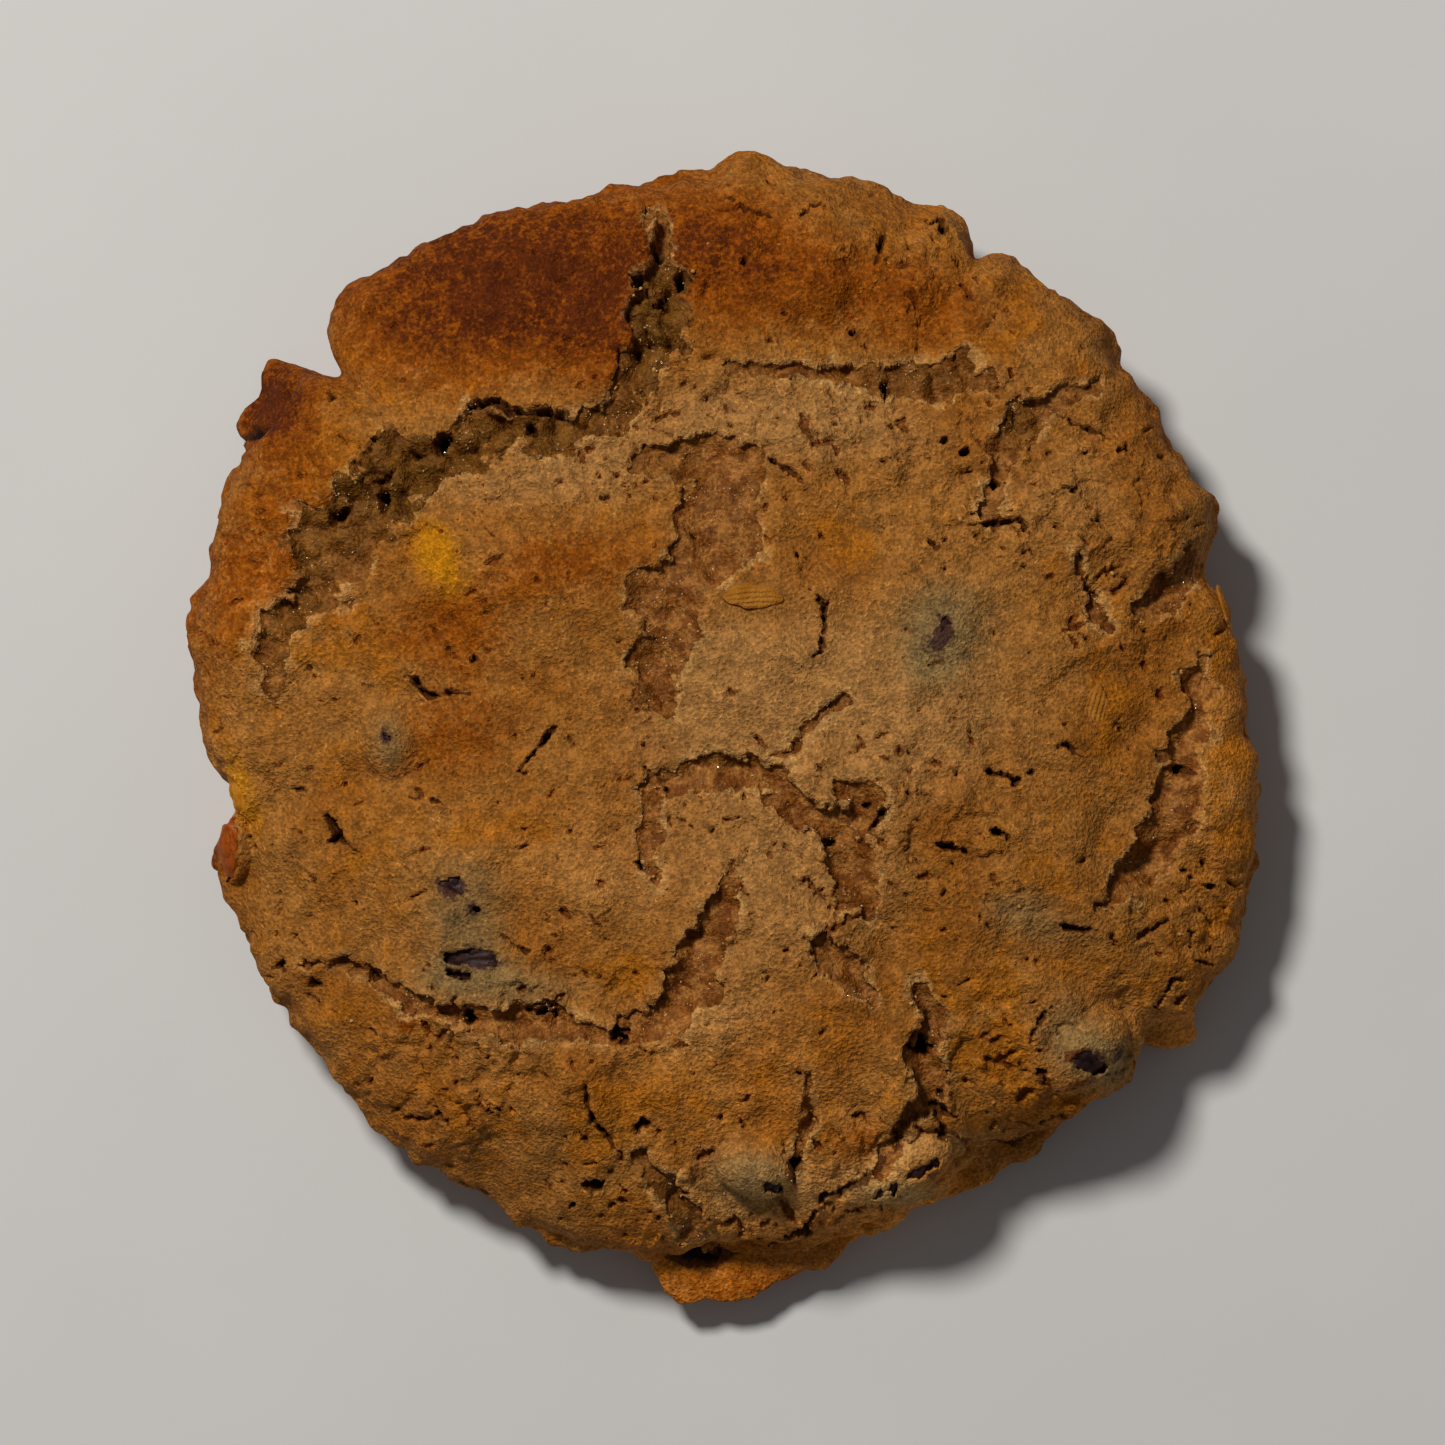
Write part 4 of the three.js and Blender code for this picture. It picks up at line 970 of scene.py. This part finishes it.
def bumped(tree, height, distance, strength):
    """The normal of a surface made uneven by a height."""
    values = {"Height": height, "Distance": distance, "Strength": strength}
    return add_node(tree, "ShaderNodeBump", values).outputs["Normal"]


def grained(tree, place, fineness):
    """The outputs of the sandy grain at a place."""
    values = {"Place": place, "Fineness": fineness}
    return add_node(tree, "ShaderNodeGroup", values, node_tree=grain_group).outputs


def sandy_grain():
    """A node group for baked dough: its soft grains, dark freckles and pale sand, and their height."""
    group = bpy.data.node_groups.new("sandy_grain", "ShaderNodeTree")
    for name, kind in (("Place", "NodeSocketVector"), ("Fineness", "NodeSocketFloat")):
        group.interface.new_socket(name, in_out="INPUT", socket_type=kind)
    for name in ("Grain", "Freckles", "Sand", "Height"):
        group.interface.new_socket(name, in_out="OUTPUT", socket_type="NodeSocketFloat")
    inputs = group.nodes.new("NodeGroupInput").outputs
    outputs = group.nodes.new("NodeGroupOutput").inputs
    scaled = add_node(
        group, "ShaderNodeVectorMath", {0: inputs["Place"], 3: inputs["Fineness"]}, operation="SCALE")
    spot = scaled.outputs[0]
    fine = noise_in(group, spot, 3300, 1.5, 0.5)
    soft = noise_in(group, spot, 1100, 2.0, 0.5)
    grain = sums(group, fine, 0.55, "MULTIPLY_ADD", sums(group, soft, 0.45))
    freckle = ranged(group, noise_in(group, spot, 1900, 2.0, 0.6), 0.655, 0.725)
    sand = ranged(group, noise_in(group, spot, 3600, 0.5, 0.5), 0.62, 0.72)
    height = sums(group, soft, 0.4, "MULTIPLY_ADD", sums(group, fine, 1.15))
    height = sums(group, freckle, -0.25, "MULTIPLY_ADD", height)
    height = sums(group, sand, 0.12, "MULTIPLY_ADD", height)
    for name, value in (("Grain", grain), ("Freckles", freckle), ("Sand", sand), ("Height", height)):
        group.links.new(value, outputs[name])
    return group


grain_group = sandy_grain()


def crust_material():
    material, tree, shader, place = new_material("baked_crust")
    names = "gap shut cut pore crease brown pale grey plum gold olive dried".split()
    mask = {name: mask_in(tree, name) for name in names}
    grain = grained(tree, place, 1.0)
    cloud = noise_in(tree, place, 95, 4)
    patch = noise_in(tree, place, 260, 4, 0.6)
    blot = noise_in(tree, place, 700, 4, 0.65)
    speck = noise_in(tree, place, 2600, 2, 0.6)
    # Distances in millimetres, roughened by the grain, so that each edge is crisp and uneven.
    uneven = sums(tree, speck, 0.6, "MULTIPLY_ADD", -0.3)
    gap = sums(tree, mask["gap"], uneven, "ADD")
    cut = sums(tree, mask["cut"], sums(tree, uneven, 0.6), "ADD")
    crumb = ranged(tree, gap, 0.06, -0.06)
    torn = sums(tree, ranged(tree, gap, 0.8, 0.0), ranged(tree, patch, 0.4, 0.6, 0.1, 0.8))
    colour = mixed(tree, ranged(tree, cloud, 0.36, 0.64), TAN_LIGHT, TAN_DEEP)
    paleness = sums(tree, patch, 0.6, "MULTIPLY_ADD", mask["pale"])
    colour = mixed(tree, ranged(tree, paleness, 0.35, 1.2, 0, 0.9), colour, PALE)
    ochre = sums(tree, mask["pale"], -0.3, "MULTIPLY_ADD", patch)
    colour = mixed(tree, ranged(tree, ochre, 0.5, 0.7, 0, 0.75), colour, OCHRE)
    mottled = sums(tree, sums(tree, speck, 1.5), sums(tree, patch, 0.5, "MULTIPLY_ADD", blot), "ADD")
    browning = sums(tree, mask["brown"], ranged(tree, mottled, 1.2, 1.8, 0.65, 1.35))
    colour = mixed(tree, ranged(tree, browning, 0.1, 0.6), colour, TOASTED)
    colour = mixed(tree, ranged(tree, browning, 0.5, 1.15), colour, BROWN)
    colour = mixed(tree, torn, colour, TORN)
    gilt = sums(tree, sums(tree, blot, 0.8, "MULTIPLY_ADD", -0.4), mask["gold"], "ADD")
    colour = mixed(tree, ranged(tree, gilt, 0.15, 1.0, 0, 0.95), colour, STAIN_GOLD)
    greyness = sums(tree, blot, 0.4, "MULTIPLY_ADD", mask["grey"])
    colour = mixed(tree, ranged(tree, greyness, 0.3, 1.1, 0, 0.85), colour, STAIN_GREY)
    plum = sums(tree, sums(tree, speck, blot, "ADD"), 1.2, "MULTIPLY_ADD", mask["plum"])
    colour = mixed(tree, ranged(tree, plum, 1.45, 1.95, 0, 0.9), colour, STAIN_PLUM)
    colour = mixed(tree, sums(tree, grain["Freckles"], 0.6), colour, FRECKLE_AND_PIT_SHADE)
    # Painted shade in the pits and slits that steam left, in the freckles' brown.
    pore = sums(tree, mask["pore"], uneven, "ADD")
    colour = mixed(tree, ranged(tree, pore, 0.0, 0.12, 0, 0.8), colour, FRECKLE_AND_PIT_SHADE)
    moist = mixed(tree, ranged(tree, blot, 0.38, 0.62), CRUMB_PALE, CRUMB_DEEP)
    moist = mixed(tree, mask["olive"], moist, CRUMB_OLIVE)
    # Painted shadow on the crumb under each gap's closed edge, on the lamp side, deepest where the gap is
    # most shut.
    under = sums(tree, sums(tree, ranged(tree, gap, -1.1, -0.1), mask["shut"]), mask["shut"])
    moist = mixed(tree, sums(tree, under, 0.38), moist, PAINTED_CREVICE_SHADE)
    colour = mixed(tree, crumb, colour, moist)
    # Painted shade in the creases between the lumps.
    crease = sums(tree, mask["crease"], uneven, "ADD")
    colour = mixed(tree, ranged(tree, crease, 0.25, 0.8, 0, 0.8), colour, PAINTED_CREVICE_SHADE)
    shade = ranged(tree, grain["Grain"], 0.38, 0.62, 0.70, 1.25)
    shade = sums(tree, shade, ranged(tree, blot, 0.35, 0.65, 1.1, 0.88))
    shade = sums(tree, shade, sums(tree, grain["Sand"], 0.5, "MULTIPLY_ADD", 1.0))
    # Painted light: the crust made lighter on the foot, on the wall turned from the lamp and on parts of
    # the rim.
    shade = sums(tree, shade, sums(tree, mask["dried"], 1.0, "ADD"))
    shaded = add_node(tree, "ShaderNodeVectorMath", {0: colour, 3: shade}, operation="SCALE").outputs[0]
    # Painted shade in slits and steam holes: dark brown at their edges, near black deep inside.
    shaded = mixed(tree, ranged(tree, cut, 0.1, 0.0, 0, 0.85), shaded, PAINTED_CREVICE_SHADE)
    colour = mixed(tree, ranged(tree, cut, -0.12, -0.42), shaded, PAINTED_HOLE_SHADOW)
    set_inputs(tree, shader, {
        "Base Color": colour, "Roughness": ranged(tree, crumb, 0.2, 0.9, 0.75, 0.45),
        "Specular IOR Level": 0.07, "Normal": bumped(tree, grain["Height"], 0.22 * MM, 1.0)})
    return material


crust.data.materials.clear()
crust.data.materials.append(crust_material())
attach(crust, "root")
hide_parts("cookie")


# ---- The bare oat flakes ------------------------------------------------------------------------
# Rolled oats that the dough didn't cover. Each is a thin toasted flake, ridged lengthwise where the
# husk was, and is baked into the crust up to its edge.

BARE_FLAKES = [(2.6, 10.1, 4.8, 2.2, 4), (42.6, 9.8, 4.4, 2.0, 98), (31.4, 0.8, 4.0, 2.2, 75)]
# A flake's thickness, how far its middle stands over the crust, and the height and distance of its
# ridges, in mm.
FLAKE_THICKNESS = 0.5
FLAKE_PROUD = -0.08
RIDGE_HEIGHT = 0.05
FLAKE_RIDGE = 0.42
FLAKE_RINGS = 22
FLAKE_PALE = (0.41, 0.165, 0.020, 1)
FLAKE_DEEP = (0.32, 0.112, 0.008, 1)
FLAKE_WARM = (0.44, 0.17, 0.014, 1)
crust_surface = BVHTree.FromObject(crust, bpy.context.evaluated_depsgraph_get())


def crust_under(x, y):
    """The crust's height and its normal at a place of the plan, in millimetres."""
    place, normal, _, _ = crust_surface.ray_cast(Vector((x * MM, y * MM, 1)), Vector((0, 0, -1)))
    return place.z / MM, normal


def oat_flake(x, y, length, width, degrees):
    """One flake's points and triangles: two discs that meet at a thin edge, ridged on top."""
    rings = FLAKE_RINGS
    ring, angle = disc_corners(rings)
    share = ring / rings
    edge = 1 + 0.10 * np.sin(2 * angle + x) + 0.05 * np.sin(5 * angle + y) + 0.03 * np.sin(9 * angle)
    along, across = length / 2 * share * edge * np.cos(angle), width / 2 * share * edge * np.sin(angle)
    bulge = np.sqrt(np.maximum(1 - share**2, 0))
    ridges = RIDGE_HEIGHT * np.cos(2 * pi * (across + 0.03 * along**2) / FLAKE_RIDGE) * (1 - share**4)
    curl = -0.03 * across**2 - 0.012 * along**2
    top = curl + FLAKE_THICKNESS / 2 * bulge + ridges
    under = curl - FLAKE_THICKNESS / 2 * bulge
    inner = ring < rings
    points = np.vstack([np.stack([along, across, top], 1), np.stack([along, across, under], 1)[inner]])
    faces = disc_faces(rings)
    below = np.where(inner, np.arange(len(ring)) + len(ring), np.arange(len(ring)))
    faces = np.vstack([faces, below[faces][:, ::-1]])
    height, normal = crust_under(x, y)
    turn = standing_on(normal, degrees)
    middle = np.array([x, y, height]) + np.array(normal) * FLAKE_PROUD
    return points @ np.array(turn).T + middle, faces


def flake_material():
    material, tree, shader, place = new_material("oat_flake")
    grain = grained(tree, place, 1.4)
    cloud = noise_in(tree, place, 700, 3)
    colour = mixed(tree, ranged(tree, cloud, 0.35, 0.65), FLAKE_PALE, FLAKE_DEEP)
    colour = mixed(tree, ranged(tree, grain["Grain"], 0.55, 0.75, 0, 0.4), colour, FLAKE_WARM)
    set_inputs(tree, shader, {
        "Base Color": colour, "Roughness": 0.6, "Specular IOR Level": 0.1,
        "Normal": bumped(tree, grain["Height"], 0.2 * MM, 0.7)})
    return material


flake_points, flake_faces = [], []
for flake in BARE_FLAKES:
    points, faces = oat_flake(*flake)
    flake_faces.append(faces + sum(map(len, flake_points)))
    flake_points.append(points)
flake_mesh = mesh_from("oat_flakes", np.vstack(flake_points), np.vstack(flake_faces))
flakes = in_scene("oat_flakes", flake_mesh)
flakes.data.materials.append(flake_material())
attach(flakes, "root")


# ---- Crumbs and sugar ---------------------------------------------------------------------------
# Loose crumbs of the torn crust lie along its edges and in its rough parts, and grains of sugar and
# beads of moisture glint in the moist crumb. Each kind is strewn over the crust's own surface.

# How many of a kind there are on a square metre where its mask is 1, and its smallest and largest.
CRUMB_DENSITY = 700000.0
CRUMB_SIZES = (0.07 * MM, 0.22 * MM)
SUGAR_DENSITY = 1700000.0
SUGAR_SIZES = (0.05 * MM, 0.11 * MM)
SUGAR_DEEP = (0.50, 0.30, 0.12, 1)
SUGAR_PALE = (0.72, 0.52, 0.28, 1)


def strewn_tree(shape):
    """A tree that strews small shapes over a surface, more of them where a mask is higher."""
    tree = bpy.data.node_groups.new("strewn_" + shape, "GeometryNodeTree")
    tree.interface.new_socket("Surface", in_out="INPUT", socket_type="NodeSocketGeometry")
    for name, kind in (
        ("Mask", "NodeSocketString"), ("Per Square Metre", "NodeSocketFloat"), ("Seed", "NodeSocketInt"),
        ("Smallest", "NodeSocketFloat"), ("Largest", "NodeSocketFloat"), ("Material", "NodeSocketMaterial"),
    ):
        tree.interface.new_socket(name, in_out="INPUT", socket_type=kind)
    tree.interface.new_socket("Grains", in_out="OUTPUT", socket_type="NodeSocketGeometry")
    inputs = tree.nodes.new("NodeGroupInput").outputs
    mask = add_node(tree, "GeometryNodeInputNamedAttribute", {"Name": inputs["Mask"]}, data_type="FLOAT")
    density = sums(tree, mask.outputs["Attribute"], inputs["Per Square Metre"])
    points = add_node(
        tree, "GeometryNodeDistributePointsOnFaces",
        {"Mesh": inputs["Surface"], "Density": density, "Seed": inputs["Seed"]})
    if shape == "crumb":
        lump = add_node(tree, "GeometryNodeMeshIcoSphere", {"Radius": 1.0, "Subdivisions": 1})
    else:
        lump = add_node(tree, "GeometryNodeMeshCube", {"Size": (1.6, 1.3, 1.1)})
    bent = add_node(tree, "ShaderNodeTexNoise", {"Scale": 1.3, "Detail": 1})
    offset = add_node(
        tree, "ShaderNodeVectorMath",
        {0: bent.outputs["Color"], 1: (1.6, 1.6, 1.6), 2: (-0.8, -0.8, -0.8)}, operation="MULTIPLY_ADD")
    uneven = add_node(
        tree, "GeometryNodeSetPosition", {"Geometry": lump.outputs["Mesh"], "Offset": offset.outputs[0]})
    turn, size, stretch = (
        add_node(tree, "FunctionNodeRandomValue", {**ends, "Seed": inputs["Seed"]}, data_type=kind)
        for ends, kind in (
            ({0: (0, 0, 0), 1: (6.283, 6.283, 6.283)}, "FLOAT_VECTOR"),
            ({2: inputs["Smallest"], 3: inputs["Largest"]}, "FLOAT"),
            ({0: (0.7, 0.7, 0.6), 1: (1.3, 1.2, 1.0)}, "FLOAT_VECTOR"),
        ))
    scale = add_node(
        tree, "ShaderNodeVectorMath", {0: stretch.outputs[0], 3: size.outputs[1]}, operation="SCALE")
    placed = add_node(tree, "GeometryNodeInstanceOnPoints", {
        "Points": points.outputs["Points"], "Instance": uneven.outputs["Geometry"],
        "Rotation": turn.outputs[0], "Scale": scale.outputs[0]})
    real = add_node(tree, "GeometryNodeRealizeInstances", {"Geometry": placed.outputs["Instances"]})
    finished = add_node(tree, "GeometryNodeSetMaterial", {
        "Geometry": real.outputs["Geometry"], "Material": inputs["Material"]})
    outputs = tree.nodes.new("NodeGroupOutput").inputs
    tree.links.new(finished.outputs["Geometry"], outputs["Grains"])
    return tree


def strewn(name, shape, values):
    """Adds a piece of small shapes strewn over the crust, made a plain mesh."""
    tree = strewn_tree(shape)
    piece = in_scene(name, crust.data.copy())
    strew = piece.modifiers.new("strew", "NODES")
    strew.node_group = tree
    for item in tree.interface.items_tree:
        if item.in_out == "INPUT" and item.name in values:
            strew[item.identifier] = values[item.name]
    settled(piece).data.name = name
    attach(piece, "root")


def crumb_material():
    material, tree, shader, place = new_material("loose_crumb")
    colour = mixed(tree, ranged(tree, noise_in(tree, place, 900, 1), 0.4, 0.6), TORN, TAN_DEEP)
    colour = mixed(tree, sums(tree, grained(tree, place, 1.0)["Freckles"], 0.6), colour, TOASTED)
    set_inputs(tree, shader, {"Base Color": colour, "Roughness": 0.7, "Specular IOR Level": 0.08})
    return material


def sugar_material():
    material, tree, shader, place = new_material("sugar_glint")
    tint = mixed(tree, ranged(tree, noise_in(tree, place, 800, 1), 0.4, 0.6), SUGAR_DEEP, SUGAR_PALE)
    set_inputs(tree, shader, {"Base Color": tint, "Roughness": 0.12, "Specular IOR Level": 0.6})
    return material


strewn("crumbs", "crumb", {
    "Mask": "crumbly", "Per Square Metre": CRUMB_DENSITY, "Seed": 7,
    "Smallest": CRUMB_SIZES[0], "Largest": CRUMB_SIZES[1], "Material": crumb_material()})
strewn("sugar", "crystal", {
    "Mask": "moist", "Per Square Metre": SUGAR_DENSITY, "Seed": 3,
    "Smallest": SUGAR_SIZES[0], "Largest": SUGAR_SIZES[1], "Material": sugar_material()})


# ---- The fruit ----------------------------------------------------------------------------------
# Raisins and golden sultanas, shrunk into deep folds, and a chip of candied peel. Each lies in its
# pocket under a thin skin of crust and shows where the skin has broken.

# How often the ball's triangles are split, and the depths of its lumps, folds and creases and its
# swelling, as shares of its half-axes.
FRUIT_ROUNDS = 5
LUMP_DEPTH = 0.12
FOLD_DEPTH = 0.10
CREASE_DEPTH = 0.05
SWELLING = 0.03
PEEL_FOLDS = 0.4


def fruit_mesh(name, folds):
    """A fruit of its node's form: an ellipsoid of the same size, turn and place, drawn into folds."""
    middle, turn = fruit_pose(name)
    half = np.array(FRUIT[name][1])
    ball = bpy.data.meshes.new(name)
    shape = bmesh.new()
    bmesh.ops.create_icosphere(shape, subdivisions=FRUIT_ROUNDS, radius=1)
    shape.to_mesh(ball)
    shape.free()
    unit = np.zeros(3 * len(ball.vertices))
    ball.vertices.foreach_get("co", unit)
    unit = unit.reshape(-1, 3)
    broad = LUMP_DEPTH * noise(unit, 0.48, round(10 * half[0]))
    seed = round(7 * half[0])
    fold = (1 - np.abs(noise(unit * [1, 1.4, 1.4], 0.5, seed))) ** 5
    crease = (1 - np.abs(noise(unit * [1, 1.6, 1.6], 0.23, seed + 1))) ** 4
    size = 1 + broad - folds * (FOLD_DEPTH * fold + CREASE_DEPTH * crease) + SWELLING
    points = (unit * size[:, None] * half) @ np.array(turn).T + np.array(middle)
    ball.vertices.foreach_set("co", (points * MM).astype(np.float32).ravel())
    layer = ball.attributes.new("fold", "FLOAT", "POINT")
    layer.data.foreach_set("value", np.maximum(fold, 0.7 * crease).astype(np.float32))
    ball.polygons.foreach_set("use_smooth", np.ones(len(ball.polygons), bool))
    ball.update()
    return ball


def fruit_material(name, fold_shade, ridge, roughness, gloss, bloom):
    material, tree, shader, place = new_material(name)
    cloud = noise_in(tree, place, 500, 3)
    # Painted shade: the skin is darker in its folds and creases and lighter on its ridges.
    colour = mixed(tree, ranged(tree, mask_in(tree, "fold"), 0.25, 0.9), ridge, fold_shade)
    colour = mixed(tree, ranged(tree, cloud, 0.45, 0.7, 0, 0.6), colour, bloom)
    set_inputs(tree, shader, {
        "Base Color": colour, "Roughness": ranged(tree, cloud, 0.4, 0.7, roughness, roughness + 0.25),
        "Specular IOR Level": gloss, "Normal": bumped(tree, noise_in(tree, place, 2600, 3), 0.2 * MM, 0.5)})
    return material


# For each skin: its painted shade in the folds, its colour on the ridges, then its roughness, gloss and
# bloom.
fruit_finish = {
    "raisin": fruit_material(
        "raisin_skin", (0.006, 0.002, 0.002, 1), (0.040, 0.014, 0.012, 1), 0.42, 0.2,
        (0.050, 0.026, 0.024, 1)),
    "sultana": fruit_material(
        "sultana_skin", (0.43, 0.155, 0.008, 1), (0.52, 0.215, 0.018, 1), 0.6, 0.05,
        (0.48, 0.20, 0.014, 1)),
    "candied_peel": fruit_material(
        "peel_skin", (0.19, 0.030, 0.0008, 1), (0.32, 0.068, 0.002, 1), 0.35, 0.15,
        (0.26, 0.050, 0.0015, 1)),
}
for name in FRUIT:
    slot = "candied_peel" if name.startswith("peel") else name.split("_")[0]
    fruit = in_scene(name + "_fruit", fruit_mesh(name, PEEL_FOLDS if slot == "candied_peel" else 1.0))
    fruit.data.materials.append(fruit_finish[slot])
    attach(fruit, "root")
    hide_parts(name)
